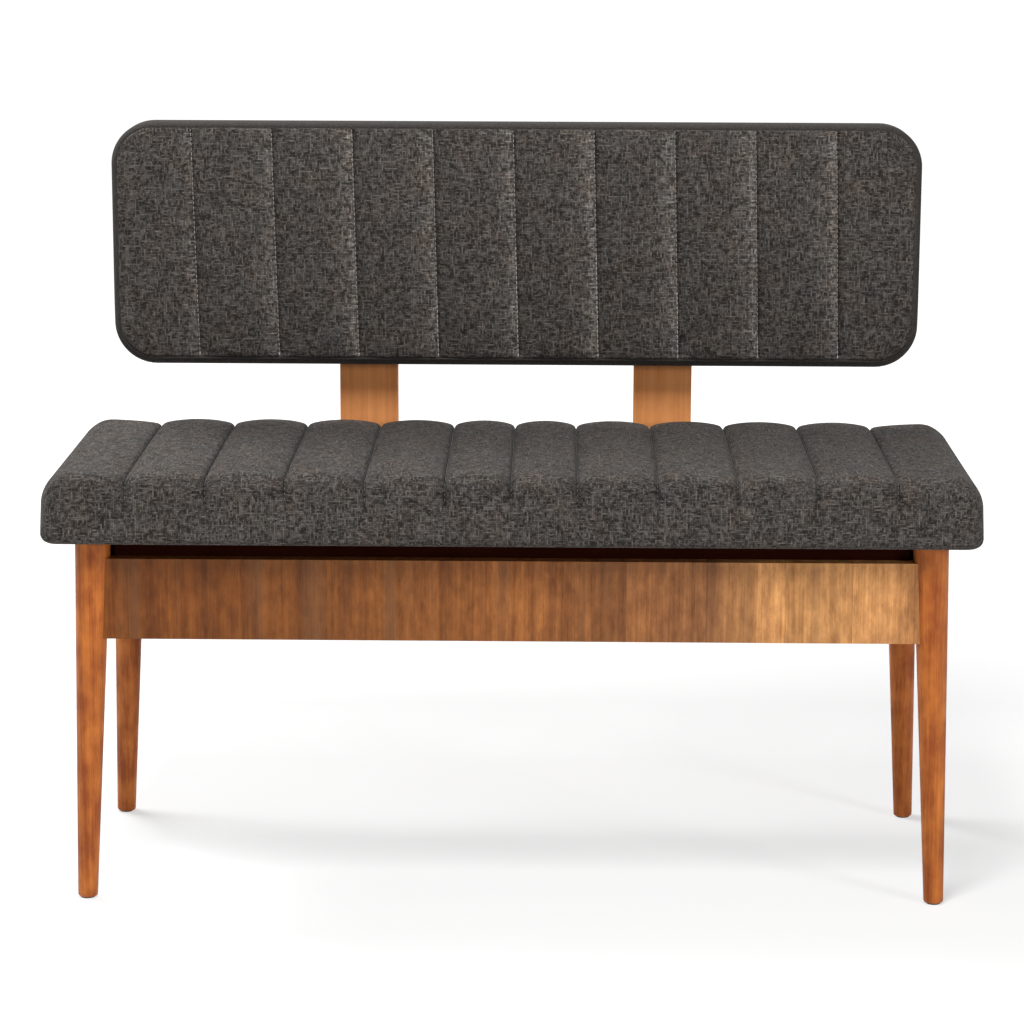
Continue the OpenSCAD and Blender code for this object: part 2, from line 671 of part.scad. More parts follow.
// Posts, with sunk bolt heads on their back
module backrest_post(side) color([0.6, 0.35, 0.18]) difference() {
    translate([side * post_x - post_w / 2, post_y, post_z]) cube([post_w, post_t, post_top_z - post_z]);
    post_bolt_places() post_bolt_bore();
    back_bolt_places() bolt_bore(back_bolt_dia, back_bolt_head_dia, back_bolt_head_t, back_bolt_len);
}
module backrest_post_left() backrest_post(-1);
module backrest_post_right() backrest_post(1);

// Bolts point along +Z in their own frame, with the outer face of the post at its origin
module bolt(dia, head_dia, head_t, len) difference() {
    union() {
        translate([0, 0, head_sink]) cylinder(h = head_t, d = head_dia);
        translate([0, 0, head_sink]) cylinder(h = len, d = dia);
    }
    translate([0, 0, head_sink - cut_over]) cylinder(h = cut_over + head_t / 2, d = socket_dia, $fn = 6);
}
module bolt_bore(dia, head_dia, head_t, len) {
    translate([0, 0, -cut_over]) cylinder(h = cut_over + head_sink + head_t, d = head_dia + 2 * head_fit);
    cylinder(h = head_sink + len + wood_fit, d = dia + 2 * wood_fit);
}

// Each post has a low bolt through the apron and a high one through the apron and its batten
post_low_bolt_z = apron_z + post_low_bolt_rise;
post_high_bolt_z = batten_lap_z;
post_nut_stack = (washer_t_share + nut_t_share + thread_end_share) * post_bolt_dia;
module bolts_at(z, grip) {
    for (side = [-1, 1]) translate([side * post_x, y_rear, z]) rotate([90, 0, 0]) {
        $grip = grip;
        children();
    }
}
module post_bolt_places() {
    bolts_at(post_low_bolt_z, post_t + apron_t) children();
    bolts_at(post_high_bolt_z, post_t + apron_t + batten_t) children();
}
module post_bolt_bore() {
    bolt_bore(post_bolt_dia, post_bolt_head_dia, post_bolt_head_t, $grip + post_nut_stack);
}
module post_bolts() color([0.8, 0.8, 0.82]) post_bolt_places()
    bolt(post_bolt_dia, post_bolt_head_dia, post_bolt_head_t, $grip + post_nut_stack - head_sink);
module post_washers() color([0.8, 0.8, 0.82])
    post_bolt_places() translate([0, 0, $grip]) washer(post_bolt_dia);
module post_nuts() color([0.8, 0.8, 0.82])
    post_bolt_places() translate([0, 0, $grip + washer_t_share * post_bolt_dia]) nut(post_bolt_dia);

// Backrest
module back_cover() color([0.25, 0.24, 0.23]) difference() {
    loft(back_stations, [for (s = back_stations) back_loop(s[0], s[1])]);
    back_slab(cover_t, back_board_y - back_foam_t - foam_fit, back_board_t + back_foam_t + foam_fit);
    back_slab(back_rear_r + hem_w, back_board_y + back_board_t - foam_fit, hem_t + foam_fit + cut_over);
}
module back_foam() color([0.93, 0.88, 0.66])
    back_slab(cover_t + foam_fit, back_board_y - back_foam_t, back_foam_t);
module back_board() color([0.8, 0.66, 0.46]) difference() {
    back_slab(cover_t + foam_fit, back_board_y, back_board_t);
    tee_nut_places() tee_nut_body(wood_fit);
    back_bolt_places() bolt_bore(back_bolt_dia, back_bolt_head_dia, back_bolt_head_t, back_bolt_len);
}
module back_panel() color([0.2, 0.19, 0.18]) difference() {
    back_slab(back_rear_r + hem_w - lining_lap, post_y - lining_t, lining_t);
    back_bolt_places() bolt_bore(back_bolt_dia, back_bolt_head_dia, back_bolt_head_t, back_bolt_len);
}

// Two bolts of each post in the backrest, with tee nuts on the board's front
back_bolt_len = post_t - head_sink + lining_t + hem_t + back_board_t - thread_end_share * back_bolt_dia;
back_bolt_zs = [for (t = [-1, 1]) (back_z + post_top_z) / 2 + t * back_bolt_pitch / 2];
tee_flange_dia = tee_flange_width_share * back_bolt_dia;
tee_barrel_dia = tee_barrel_width_share * back_bolt_dia;
tee_flange_t = tee_flange_t_share * back_board_t;
tee_barrel_len = tee_barrel_len_share * back_board_t;
module back_bolt_places() {
    for (side = [-1, 1], z = back_bolt_zs)
        translate([side * post_x, y_rear, z]) rotate([90, 0, 0]) children();
}
module tee_nut_places() {
    for (side = [-1, 1], z = back_bolt_zs)
        translate([side * post_x, back_board_y, z]) rotate([-90, 0, 0]) children();
}
module tee_nut_body(fit) {
    translate([0, 0, -fit]) cylinder(h = tee_flange_t + fit, d = tee_flange_dia + 2 * fit);
    cylinder(h = tee_barrel_len + fit, d = tee_barrel_dia + 2 * fit);
}
module back_bolts() color([0.8, 0.8, 0.82]) back_bolt_places()
    bolt(back_bolt_dia, back_bolt_head_dia, back_bolt_head_t, back_bolt_len);
module back_tee_nuts() color([0.7, 0.71, 0.74]) tee_nut_places() difference() {
    tee_nut_body(0);
    translate([0, 0, -cut_over])
        cylinder(h = tee_barrel_len + 2 * cut_over, d = back_bolt_dia + 2 * wood_fit);
}

seat_cover();
seat_foam();
seat_board();
seat_lining();
leg_front_left();
leg_front_right();
leg_rear_left();
leg_rear_right();
foot_glides();
apron_front();
apron_rear();
apron_left();
apron_right();
centre_rail();
frame_dowels();
seat_batten_front();
seat_batten_rear();
seat_batten_left();
seat_batten_right();
batten_screws();
seat_screws();
corner_brackets();
bracket_screws();
hanger_bolts();
hanger_washers();
hanger_nuts();
backrest_post_left();
backrest_post_right();
post_bolts();
post_washers();
post_nuts();
back_cover();
back_foam();
back_board();
back_panel();
back_bolts();
back_tee_nuts();
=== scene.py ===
# %% [markdown]
# # A quilted dining bench
#
# The bench has an upholstered seat on a wooden frame with four splayed legs, and a rounded backrest
# that two flat posts hold up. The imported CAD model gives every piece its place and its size. This
# script keeps the rigid pieces as they are, gives them finishes, and makes the soft ones anew.

import math
import random

import bmesh
import bpy
import numpy as np
from mathutils import Matrix, Vector


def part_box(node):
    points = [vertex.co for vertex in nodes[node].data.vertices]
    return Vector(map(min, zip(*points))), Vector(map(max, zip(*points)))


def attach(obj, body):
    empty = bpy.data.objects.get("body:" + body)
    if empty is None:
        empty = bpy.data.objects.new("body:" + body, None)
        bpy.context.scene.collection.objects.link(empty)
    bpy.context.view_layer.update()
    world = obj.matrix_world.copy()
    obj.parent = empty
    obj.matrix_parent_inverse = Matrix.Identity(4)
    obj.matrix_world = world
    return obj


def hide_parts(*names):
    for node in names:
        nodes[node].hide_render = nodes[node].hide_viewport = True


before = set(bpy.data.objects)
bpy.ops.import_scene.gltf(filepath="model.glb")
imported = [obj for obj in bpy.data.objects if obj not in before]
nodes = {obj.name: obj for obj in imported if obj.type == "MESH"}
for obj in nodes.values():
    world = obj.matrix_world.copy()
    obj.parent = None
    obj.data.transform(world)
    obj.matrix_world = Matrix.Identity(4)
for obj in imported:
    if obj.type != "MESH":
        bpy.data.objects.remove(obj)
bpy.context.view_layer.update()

# %% [markdown]
# ## Camera
#
# A long lens at standing height was fitted to the edges of the bench in the photograph. A camera looks
# along its own -Z axis with +Y up, so the three columns of its matrix are right, up and backwards. A
# matrix is clearer here than three angles, because the small roll is added last about the view line.

# %% Camera
LENS_MM, SENSOR_MM = 113.08, 36.0
CAMERA_PLACE = Vector((0.0493, -3.6737, 1.1792))
CAMERA_YAW, CAMERA_PITCH, CAMERA_ROLL = (math.radians(a) for a in (-0.791, 11.695, 0.201))


def add_to_scene(name, data, place=None):
    """An object for a camera, lamp or mesh, in the scene's collection and at a place given as a matrix."""
    made = bpy.data.objects.new(name, data)
    bpy.context.scene.collection.objects.link(made)
    if place is not None:
        made.matrix_world = place
    return made


def look_along(yaw, pitch, roll):
    """The turn of a camera that looks along +Y, then yaws to the right, pitches down and rolls."""
    forward = Vector((math.sin(yaw) * math.cos(pitch), math.cos(yaw) * math.cos(pitch), -math.sin(pitch)))
    right = Vector((math.cos(yaw), -math.sin(yaw), 0))
    up = right.cross(forward)
    rolled_right = right * math.cos(roll) + up * math.sin(roll)
    rolled_up = up * math.cos(roll) - right * math.sin(roll)
    return Matrix((rolled_right, rolled_up, -forward)).transposed().to_4x4()


camera_data = bpy.data.cameras.new("bench_camera")
camera_data.lens = LENS_MM
camera_data.sensor_width = SENSOR_MM
camera_place = Matrix.Translation(CAMERA_PLACE) @ look_along(CAMERA_YAW, CAMERA_PITCH, CAMERA_ROLL)
bpy.context.scene.camera = add_to_scene("bench_camera", camera_data, camera_place)
print("camera", list(CAMERA_PLACE), "lens", LENS_MM)

# %% [markdown]
# ## Nodes in a few words
#
# Finishes are trees of nodes. A few helpers keep them short: fill joins one socket to another or sets a
# plain value, node adds any node, and the others add the kinds that come up often. Each finds its tree
# from the socket that it is given. New nodes go side by side in rows, so the editor shows them all.

# %% Helpers for node trees
NODES_PER_ROW, NODE_STEP_X, NODE_STEP_Y = 8, 220, -320
WHITE = (1, 1, 1, 1)


def fill(target, value):
    """Sets an input socket, or joins it to the value where that is another node's output."""
    if isinstance(value, bpy.types.NodeSocket):
        target.id_data.links.new(value, target)
    else:
        target.default_value = value


def node(tree, kind, **values):
    """Adds a node; values name its properties, or its inputs with underscores for spaces."""
    row, column = divmod(len(tree.nodes), NODES_PER_ROW)
    made = tree.nodes.new(kind)
    made.location = (column * NODE_STEP_X, row * NODE_STEP_Y)
    for key, value in values.items():
        if hasattr(made, key):
            setattr(made, key, value)
        else:
            fill(made.inputs[key.replace("_", " ")], value)
    return made


def maths(operation, *values, kind="ShaderNodeMath"):
    """The result of a Math node, or a Vector Math node, on sockets and plain values."""
    tree = next(value.id_data for value in values if isinstance(value, bpy.types.NodeSocket))
    made = node(tree, kind, operation=operation)
    for socket, value in zip(made.inputs, values):
        fill(socket, value)
    return made.outputs[0]


def stretched(vector, scale):
    """The vector multiplied by a scale for each axis."""
    return maths("MULTIPLY", vector, scale, kind="ShaderNodeVectorMath")


def shifted(vector, offset):
    """The vector moved by another one."""
    return maths("ADD", vector, offset, kind="ShaderNodeVectorMath")


def axes_of(vector):
    """The vector's X, Y and Z, by name."""
    return node(vector.id_data, "ShaderNodeSeparateXYZ", Vector=vector).outputs


def noise(vector, scale=1.0, detail=3.0, roughness=0.55):
    """Smooth random values around 0.5 over a vector, as the outputs Fac and Color."""
    return node(vector.id_data, "ShaderNodeTexNoise", Vector=vector, Scale=scale, Detail=detail,
                Roughness=roughness).outputs


def spread(value, low, high, out_low=0.0, out_high=1.0):
    """Maps low..high to out_low..out_high and clamps."""
    return node(value.id_data, "ShaderNodeMapRange", Value=value, From_Min=low, From_Max=high, To_Min=out_low,
                To_Max=out_high).outputs["Result"]


def blend_colour(factor, first, second, mode="MIX"):
    """Mixes two colours; each of the three may be a socket or a plain value."""
    tree = next(value.id_data for value in (factor, first, second) if isinstance(value, bpy.types.NodeSocket))
    made = node(tree, "ShaderNodeMix", data_type="RGBA", blend_type=mode)
    for index, value in ((0, factor), (6, first), (7, second)):
        fill(made.inputs[index], value)
    return made.outputs[2]


def tinted(colour, tint):
    """A colour multiplied by another, or by a number."""
    return blend_colour(1.0, colour, tint, mode="MULTIPLY")


def mixed_shaders(tree, factor, first, second):
    """A Mix Shader node's output."""
    made = node(tree, "ShaderNodeMixShader")
    for socket, value in zip(made.inputs, (factor, first, second)):
        fill(socket, value)
    return made.outputs[0]


def seen_ray(tree):
    """A value of 1 for camera, mirror and glass rays, and 0 for the rays that light the object."""
    path = node(tree, "ShaderNodeLightPath").outputs
    either = maths("MAXIMUM", path["Is Camera Ray"], path["Is Glossy Ray"])
    return maths("MAXIMUM", either, path["Is Transmission Ray"])


def emptied_tree(owner):
    """The node tree of a material or world, without the nodes that Blender puts there."""
    owner.use_nodes = True
    owner.node_tree.nodes.clear()
    return owner.node_tree


print("node helpers ready")

# %% [markdown]
# ## Light and floor
#
# The bench stands in a plain white studio. Four large soft lamps leave soft shadows. Two of them hang
# high, one before and one behind the bench, so the tops are brighter than the fronts. The floor's own
# glow rises away from the bench, so the soft shadow stays and the far floor turns white. The background
# is white only to rays that the eye follows: camera, mirror and glass rays. Making the lamps brighter
# instead would wash out the wood and the cloth.

# %% World
AMBIENT_STRENGTH = 0.13

world = bpy.data.worlds.new("white_studio")
bpy.context.scene.world = world
sky = emptied_tree(world)
soft_sky = node(sky, "ShaderNodeBackground", Color=WHITE, Strength=AMBIENT_STRENGTH)
white_sky = node(sky, "ShaderNodeBackground", Color=WHITE, Strength=1.0)
both_skies = mixed_shaders(sky, seen_ray(sky), soft_sky.outputs[0], white_sky.outputs[0])
node(sky, "ShaderNodeOutputWorld", Surface=both_skies)
bpy.context.scene.view_settings.view_transform = "Standard"
print("ambient", AMBIENT_STRENGTH)

# %% Lamps
LAMPS = {
    "front_high": {"place": (-0.4, -1.7, 3.1), "side": 1.0, "power": 98},
    "rear_high": {"place": (-1.7, 1.1, 2.6), "side": 1.5, "power": 92},
    "key_right": {"place": (3.1, -2.5, 1.25), "side": 0.8, "power": 58},
    "fill_left": {"place": (-2.4, -3.4, 0.9), "side": 1.6, "power": 9},
}
LAMP_TARGET = Vector((0, 0, 0.45))

for lamp_name, lamp in LAMPS.items():
    light = bpy.data.lights.new(lamp_name, "AREA")
    light.size = lamp["side"]
    light.energy = lamp["power"]
    place = Vector(lamp["place"])
    aim = (LAMP_TARGET - place).to_track_quat("-Z", "Y").to_matrix().to_4x4()
    add_to_scene(lamp_name, light, Matrix.Translation(place) @ aim)
    print(lamp_name, lamp["power"], "W")

# %% Floor
FLOOR_SIDE = 90.0
FLOOR_GREY, FLOOR_SHADOW_SHARE = 0.8, 0.42
GLOW_NEAR, GLOW_FAR = 0.56, 1.0
GLOW_START, GLOW_END = 0.9, 3.2

floor_mesh = bpy.data.meshes.new("floor")
floor_bm = bmesh.new()
bmesh.ops.create_grid(floor_bm, x_segments=1, y_segments=1, size=FLOOR_SIDE / 2)
floor_bm.to_mesh(floor_mesh)
floor_bm.free()
floor = add_to_scene("floor", floor_mesh)

floor_paint = bpy.data.materials.new("white_floor")
floor_tree = emptied_tree(floor_paint)
lit_floor = node(floor_tree, "ShaderNodeBsdfDiffuse", Color=(FLOOR_GREY,) * 3 + (1,))
shade_floor = node(floor_tree, "ShaderNodeBsdfDiffuse", Color=(FLOOR_SHADOW_SHARE,) * 3 + (1,))
floor_place = node(floor_tree, "ShaderNodeTexCoord").outputs["Object"]
floor_reach = node(floor_tree, "ShaderNodeVectorMath", operation="LENGTH", Vector=floor_place)
glow_rise = node(floor_tree, "ShaderNodeMapRange", interpolation_type="SMOOTHSTEP",
                 Value=floor_reach.outputs["Value"], From_Min=GLOW_START, From_Max=GLOW_END, To_Min=GLOW_NEAR,
                 To_Max=GLOW_FAR)
floor_glow = node(floor_tree, "ShaderNodeEmission", Color=WHITE, Strength=glow_rise.outputs["Result"])
glow_and_shade = node(floor_tree, "ShaderNodeAddShader")
fill(glow_and_shade.inputs[0], shade_floor.outputs[0])
fill(glow_and_shade.inputs[1], floor_glow.outputs[0])
both_floors = mixed_shaders(floor_tree, seen_ray(floor_tree), lit_floor.outputs[0], glow_and_shade.outputs[0])
node(floor_tree, "ShaderNodeOutputMaterial", Surface=both_floors)
floor.data.materials.append(floor_paint)
print("floor", FLOOR_SIDE, "m wide")

# %% [markdown]
# ## Wood
#
# Straight-grained wood is many thin streaks along one direction, on top of slow changes of tone. One
# node group gives the colour, the height and the roughness for every wooden piece. It works on a vector
# whose Z runs along the grain, in metres, so a Mapping node in each material turns the grain the way
# the real piece was sawn.

# %% Node group: straight grain
def group_start(name, inputs, outputs):
    """A node group, its inputs and its outputs; inputs name default values, with None for a vector."""
    tree = bpy.data.node_groups.new(name, "ShaderNodeTree")
    for label, value in inputs.items():
        kind = "Vector" if value is None else "Float" if isinstance(value, float) else "Color"
        socket = tree.interface.new_socket(name=label, in_out="INPUT", socket_type="NodeSocket" + kind)
        if value is not None:
            socket.default_value = value
    for label, kind in outputs.items():
        tree.interface.new_socket(name=label, in_out="OUTPUT", socket_type="NodeSocket" + kind)
    return tree, node(tree, "NodeGroupInput").outputs, node(tree, "NodeGroupOutput").inputs


# How often each layer changes per metre, across and along the grain
WANDER_SCALE, CLOUD_SCALE = (9, 9, 2.2), (48, 48, 24)
RING_SCALE, STREAK_SCALE, FIBRE_SCALE = (95, 95, 1.6), (620, 620, 9), (2600, 2600, 70)
WANDER_REACH = (0.006, 0.006, 0)
STREAK_SHARE, FIBRE_SHARE, FIBRE_HEIGHT = 0.35, 0.15, 0.35
SATIN, MATT = 0.42, 0.6

grain, grain_in, grain_out = group_start(
    "straight_grain",
    {"Vector": None, "Light": (0.5, 0.2, 0.06, 1), "Dark": (0.25, 0.08, 0.02, 1), "Pores": 0.5, "Figure": 0.5,
     "Mottle": 0.3},
    {"Color": "Color", "Height": "Float", "Roughness": "Float"})
wander = noise(stretched(grain_in["Vector"], WANDER_SCALE), detail=2)
bent = shifted(grain_in["Vector"], stretched(wander["Color"], WANDER_REACH))
rings = noise(stretched(bent, RING_SCALE))["Fac"]
streaks = noise(stretched(bent, STREAK_SCALE), detail=4, roughness=0.65)["Fac"]
fibres = noise(stretched(grain_in["Vector"], FIBRE_SCALE), detail=2)["Fac"]
clouds = noise(stretched(bent, CLOUD_SCALE))["Fac"]
fibre_tone = spread(fibres, 0.3, 0.7)
figure_tone = maths("MULTIPLY", spread(rings, 0.3, 0.7), grain_in["Figure"])
streaky = maths("MULTIPLY_ADD", spread(streaks, 0.32, 0.68), STREAK_SHARE, figure_tone)
fibrous = maths("MULTIPLY_ADD", fibre_tone, FIBRE_SHARE, streaky)
cloudy = maths("MULTIPLY_ADD", spread(clouds, 0.32, 0.68), grain_in["Mottle"], fibrous)
pore_depth = maths("MULTIPLY", spread(streaks, 0.62, 0.74), grain_in["Pores"])
fill(grain_out["Color"], blend_colour(spread(cloudy, 0.1, 1.1), grain_in["Light"], grain_in["Dark"]))
fill(grain_out["Height"], maths("SUBTRACT", maths("MULTIPLY", fibre_tone, FIBRE_HEIGHT), pore_depth))
fill(grain_out["Roughness"], spread(cloudy, 0.0, 1.2, SATIN, MATT))
print("straight_grain has", len(grain.nodes), "nodes")

# %% [markdown]
# ## Sawn boards and veneer leaves
#
# The aprons are faced with short leaves of veneer set side by side, their grain upright. Each leaf has
# its own tone, and a fine dark joint shows between some of them. A row number from the piece's own X,
# bent a little so that the leaves aren't equally wide, picks each leaf's tone from white noise.

# %% Node group: veneer leaves
LEAF_UNEVEN_SCALE, LEAF_UNEVEN_REACH = (9, 0, 0), 0.07
LEAF_JUMP = (3, 3, 3)
JOINT_START, JOINT_FULL, JOINT_RARITY = 0.488, 0.499, 0.7

leaves, leaves_in, leaves_out = group_start(
    "veneer_leaves",
    {"Vector": None, "Leaf Width": 0.06},
    {"Tone": "Float", "Joint": "Float", "Offset": "Vector"})
uneven = noise(stretched(leaves_in["Vector"], LEAF_UNEVEN_SCALE), detail=0)["Fac"]
uneven_x = maths("MULTIPLY_ADD", uneven, LEAF_UNEVEN_REACH, axes_of(leaves_in["Vector"])["X"])
leaf_place = maths("DIVIDE", uneven_x, leaves_in["Leaf Width"])
leaf_number = maths("FLOOR", leaf_place)
leaf_random = node(leaves, "ShaderNodeTexWhiteNoise", noise_dimensions="1D", W=leaf_number).outputs
to_middle = maths("ABSOLUTE", maths("SUBTRACT", maths("FRACT", leaf_place), 0.5))
has_joint = maths("GREATER_THAN", leaf_random["Value"], JOINT_RARITY)
fill(leaves_out["Tone"], leaf_random["Value"])
fill(leaves_out["Joint"], maths("MULTIPLY", spread(to_middle, JOINT_START, JOINT_FULL), has_joint))
fill(leaves_out["Offset"], stretched(leaf_random["Color"], LEAF_JUMP))
print("veneer_leaves has", len(leaves.nodes), "nodes")

# %% [markdown]
# ## Woven cloth
#
# The cover is a plain weave of thick melange yarn in grey and brown. Every yarn changes its tone along
# its length, and each crossing shows either the warp or the weft. The pattern lives on a UV map in
# metres that is unrolled over the pad's edge, so the weave keeps its size and turns down with the cloth.
# Along a seam the cloth's colour is made paler on the raised side, as a painted highlight, and darker in the
# crease, as painted shade. An attribute of the pad says how much, and fine short lines across the seam
# break it up like lit and shaded gathers.

# %% Node group: melange weave
WOBBLE_SCALE, WOBBLE_REACH = 110, (0.0011, 0.0011, 0)
# The second of these darkens each yarn towards its sides as painted shade of its round shape
CROSSING_DIP, YARN_EDGE_SHADE = 0.05, 0.11
TONE_ALONG, WEFT_STEP, WARP_STEP = 0.21, 7.31, 5.17
DARK_BELOW, LIGHT_ABOVE = 0.5, 0.8
PATCH_SCALE = 22
COOL_PATCH, WARM_PATCH = (0.9, 1.0, 1.03, 1), (1.1, 0.99, 0.88, 1)
DIM_PATCH, BRIGHT_PATCH = (0.86, 0.86, 0.86, 1), (1.15, 1.15, 1.15, 1)
# Short strokes across the seams that vary the painted highlight and painted shade there
GATHER_SHADING_SCALE, GATHER_SHADING_LEAST, GATHER_SHADING_MOST = (75, 560, 0), 0.4, 1.6
SLUB_HEIGHT = 1.2

weave, weave_in, weave_out = group_start(
    "melange_weave",
    {"UV": None, "Pitch": 0.0023, "Light": (0.13, 0.12, 0.11, 1), "Dark": (0.02, 0.018, 0.016, 1),
     "Patches": 0.5, "Seam Tone": 0.0},
    {"Color": "Color", "Height": "Float"})
wobble = noise(weave_in["UV"], scale=WOBBLE_SCALE, detail=2)["Color"]
wobbly = shifted(weave_in["UV"], stretched(wobble, WOBBLE_REACH))
yarn_axes = axes_of(maths("DIVIDE", wobbly, weave_in["Pitch"], kind="ShaderNodeVectorMath"))
row, column = maths("FLOOR", yarn_axes["Y"]), maths("FLOOR", yarn_axes["X"])
over = maths("ABSOLUTE", maths("MODULO", maths("ADD", row, column), 2.0))
under = maths("SUBTRACT", 1.0, over)


def yarn_round(place):
    """The height across one yarn, 0 at its sides and 1 on its crown."""
    return maths("SINE", maths("MULTIPLY", maths("FRACT", place), math.pi))


def yarn_tone(along, number, crown, hidden, step):
    """Melange tone of one yarn: long noise, with painted shade at the yarn's sides, and darker where it dips
    under.
    """
    spot = node(weave, "ShaderNodeCombineXYZ", X=along, Y=number).outputs[0]
    melange = noise(stretched(spot, (TONE_ALONG, step, 0)), detail=2, roughness=0.6)["Fac"]
    return maths("MULTIPLY_ADD", hidden, -CROSSING_DIP, maths("MULTIPLY_ADD", crown, YARN_EDGE_SHADE, melange))


weft_round, warp_round = yarn_round(yarn_axes["Y"]), yarn_round(yarn_axes["X"])
weft_tone = yarn_tone(yarn_axes["X"], row, weft_round, over, WEFT_STEP)
warp_tone = yarn_tone(yarn_axes["Y"], column, warp_round, under, WARP_STEP)
shown_tone = maths("MAXIMUM", weft_tone, warp_tone)
yarn_blend = blend_colour(spread(shown_tone, DARK_BELOW, LIGHT_ABOVE), weave_in["Dark"], weave_in["Light"])
patch_noise = noise(weave_in["UV"], scale=PATCH_SCALE)["Color"]
patch = node(weave, "ShaderNodeSeparateColor", Color=patch_noise).outputs
patch_hue = blend_colour(spread(patch[0], 0.35, 0.65), COOL_PATCH, WARM_PATCH)
patch_light = blend_colour(spread(patch[1], 0.3, 0.7), DIM_PATCH, BRIGHT_PATCH)
patch_tone = blend_colour(weave_in["Patches"], WHITE, tinted(patch_hue, patch_light))
# Painted highlight and painted shade along the seams, broken up by short strokes
gather_shading_lines = noise(stretched(weave_in["UV"], GATHER_SHADING_SCALE), detail=1)["Fac"]
gather_shading_share = spread(gather_shading_lines, 0.35, 0.65, GATHER_SHADING_LEAST, GATHER_SHADING_MOST)
seam_shading_factor = maths("MULTIPLY_ADD", gather_shading_share, weave_in["Seam Tone"], 1.0)
yarn_crown = maths("MAXIMUM", weft_round, warp_round)
fill(weave_out["Color"], tinted(tinted(yarn_blend, patch_tone), seam_shading_factor))
fill(weave_out["Height"], maths("MULTIPLY_ADD", shown_tone, SLUB_HEIGHT, yarn_crown))
print("melange_weave has", len(weave.nodes), "nodes")


# %% Paint helpers
def paint(name, **sockets):
    """A material with one Principled shader, and that shader's inputs; sockets give constant values."""
    material = bpy.data.materials.new(name)
    tree = emptied_tree(material)
    shader = node(tree, "ShaderNodeBsdfPrincipled", **sockets)
    node(tree, "ShaderNodeOutputMaterial", Surface=shader.outputs[0])
    return material, tree, shader.inputs


def placed(tree, group, **values):
    """The outputs of a node group in a material, with its inputs set or joined."""
    return node(tree, "ShaderNodeGroup", node_tree=group, **values).outputs


def object_places(tree):
    """The Object coordinates, in metres from the bench's origin."""
    return node(tree, "ShaderNodeTexCoord").outputs["Object"]


def turned_places(tree, turn, shift=(0, 0, 0)):
    """The Object coordinates, turned and moved by a Mapping node."""
    places = object_places(tree)
    return node(tree, "ShaderNodeMapping", Vector=places, Rotation=turn, Location=shift).outputs[0]


def bump(height, shader, strength, distance):
    """Feeds a height through a Bump node into the shader's normal."""
    made = node(height.id_data, "ShaderNodeBump", Strength=strength, Distance=distance, Height=height)
    fill(shader["Normal"], made.outputs[0])


def dress(shader, group, strength, distance, colour=None):
    """Feeds a group's colour, or the one given, and its roughness and height into the shader."""
    fill(shader["Base Color"], group["Color"] if colour is None else colour)
    fill(shader["Roughness"], group["Roughness"])
    bump(group["Height"], shader, strength, distance)


# %% Cloth finishes
def cloth_paint(name, pitch, light, dark, sheen, depth, patches):
    """The melange cloth on the piece's UV map, from the pitch of its yarns and their light and dark tones."""
    material, tree, shader = paint(name, Roughness=0.9, Sheen_Weight=sheen, Sheen_Roughness=0.45,
                                   Specular_IOR_Level=0.04)
    uv = node(tree, "ShaderNodeUVMap", uv_map="cloth").outputs[0]
    # The attribute holds the painted highlight and painted shade along the pad's seams
    painted_seam_shading = node(tree, "ShaderNodeAttribute", attribute_name="seam_painted_shading").outputs["Fac"]
    threads = placed(tree, weave, UV=uv, Pitch=pitch, Light=light, Dark=dark, Patches=patches,
                     Seam_Tone=painted_seam_shading)
    fill(shader["Base Color"], threads["Color"])
    bump(threads["Height"], shader, strength=0.6, distance=depth)
    return material


cover_cloth = cloth_paint("cover_cloth", pitch=0.0020, light=(0.129, 0.1145, 0.106, 1),
                          dark=(0.0195, 0.0167, 0.015, 1), sheen=0.06, depth=0.0006, patches=0.45)
band_cloth = cloth_paint("band_cloth", pitch=0.0012, light=(0.06, 0.054, 0.05, 1),
                         dark=(0.028, 0.0248, 0.0228, 1), sheen=0.04, depth=0.0002, patches=0.15)
print("made", cover_cloth.name, "and", band_cloth.name)

# %% [markdown]
# ## Finishes of the rigid pieces
#
# The legs are orange-brown hardwood under a thin satin lacquer, and the posts are the same wood made paler
# as painted light. The aprons are veneered, the battens in the gap are coloured nearly black as painted
# shade, and what nobody sees is plain beech or birch plywood. Object coordinates are metres from the
# bench's own origin, so one scale serves every piece.

# %% Wood finishes
QUARTER = math.pi / 2
UPRIGHT, ALONG_X, ALONG_Y = (0, 0, 0), (0, QUARTER, 0), (QUARTER, 0, 0)


def wood_paint(name, light, dark, turn=UPRIGHT, figure=0.5, pores=0.5, mottle=0.3, gloss=0.25, coat=0.03,
               shift=(0, 0, 0)):
    """Straight-grained wood; turn brings the grain's direction onto Z."""
    material, tree, shader = paint(name, Specular_IOR_Level=gloss, Coat_Weight=coat, Coat_Roughness=0.35)
    wood = placed(tree, grain, Vector=turned_places(tree, turn, shift), Light=light + (1,), Dark=dark + (1,),
                  Figure=figure, Pores=pores, Mottle=mottle)
    dress(shader, wood, strength=0.35, distance=0.0003)
    return material


BEECH = {"light": (0.62, 0.42, 0.24), "dark": (0.42, 0.26, 0.13), "figure": 0.25, "pores": 0.2, "coat": 0.0}
# Near-black colour of the battens in the gap under the cushion: painted shade
GAP_SHADE_WOOD = {"light": (0.042, 0.0085, 0.0042), "dark": (0.018, 0.0037, 0.0017), "figure": 0.4, "pores": 0.4,
           "gloss": 0.0, "coat": 0.0}
leg_wood = wood_paint("leg_hardwood", (0.62, 0.195, 0.03), (0.23, 0.048, 0.006), mottle=0.55)
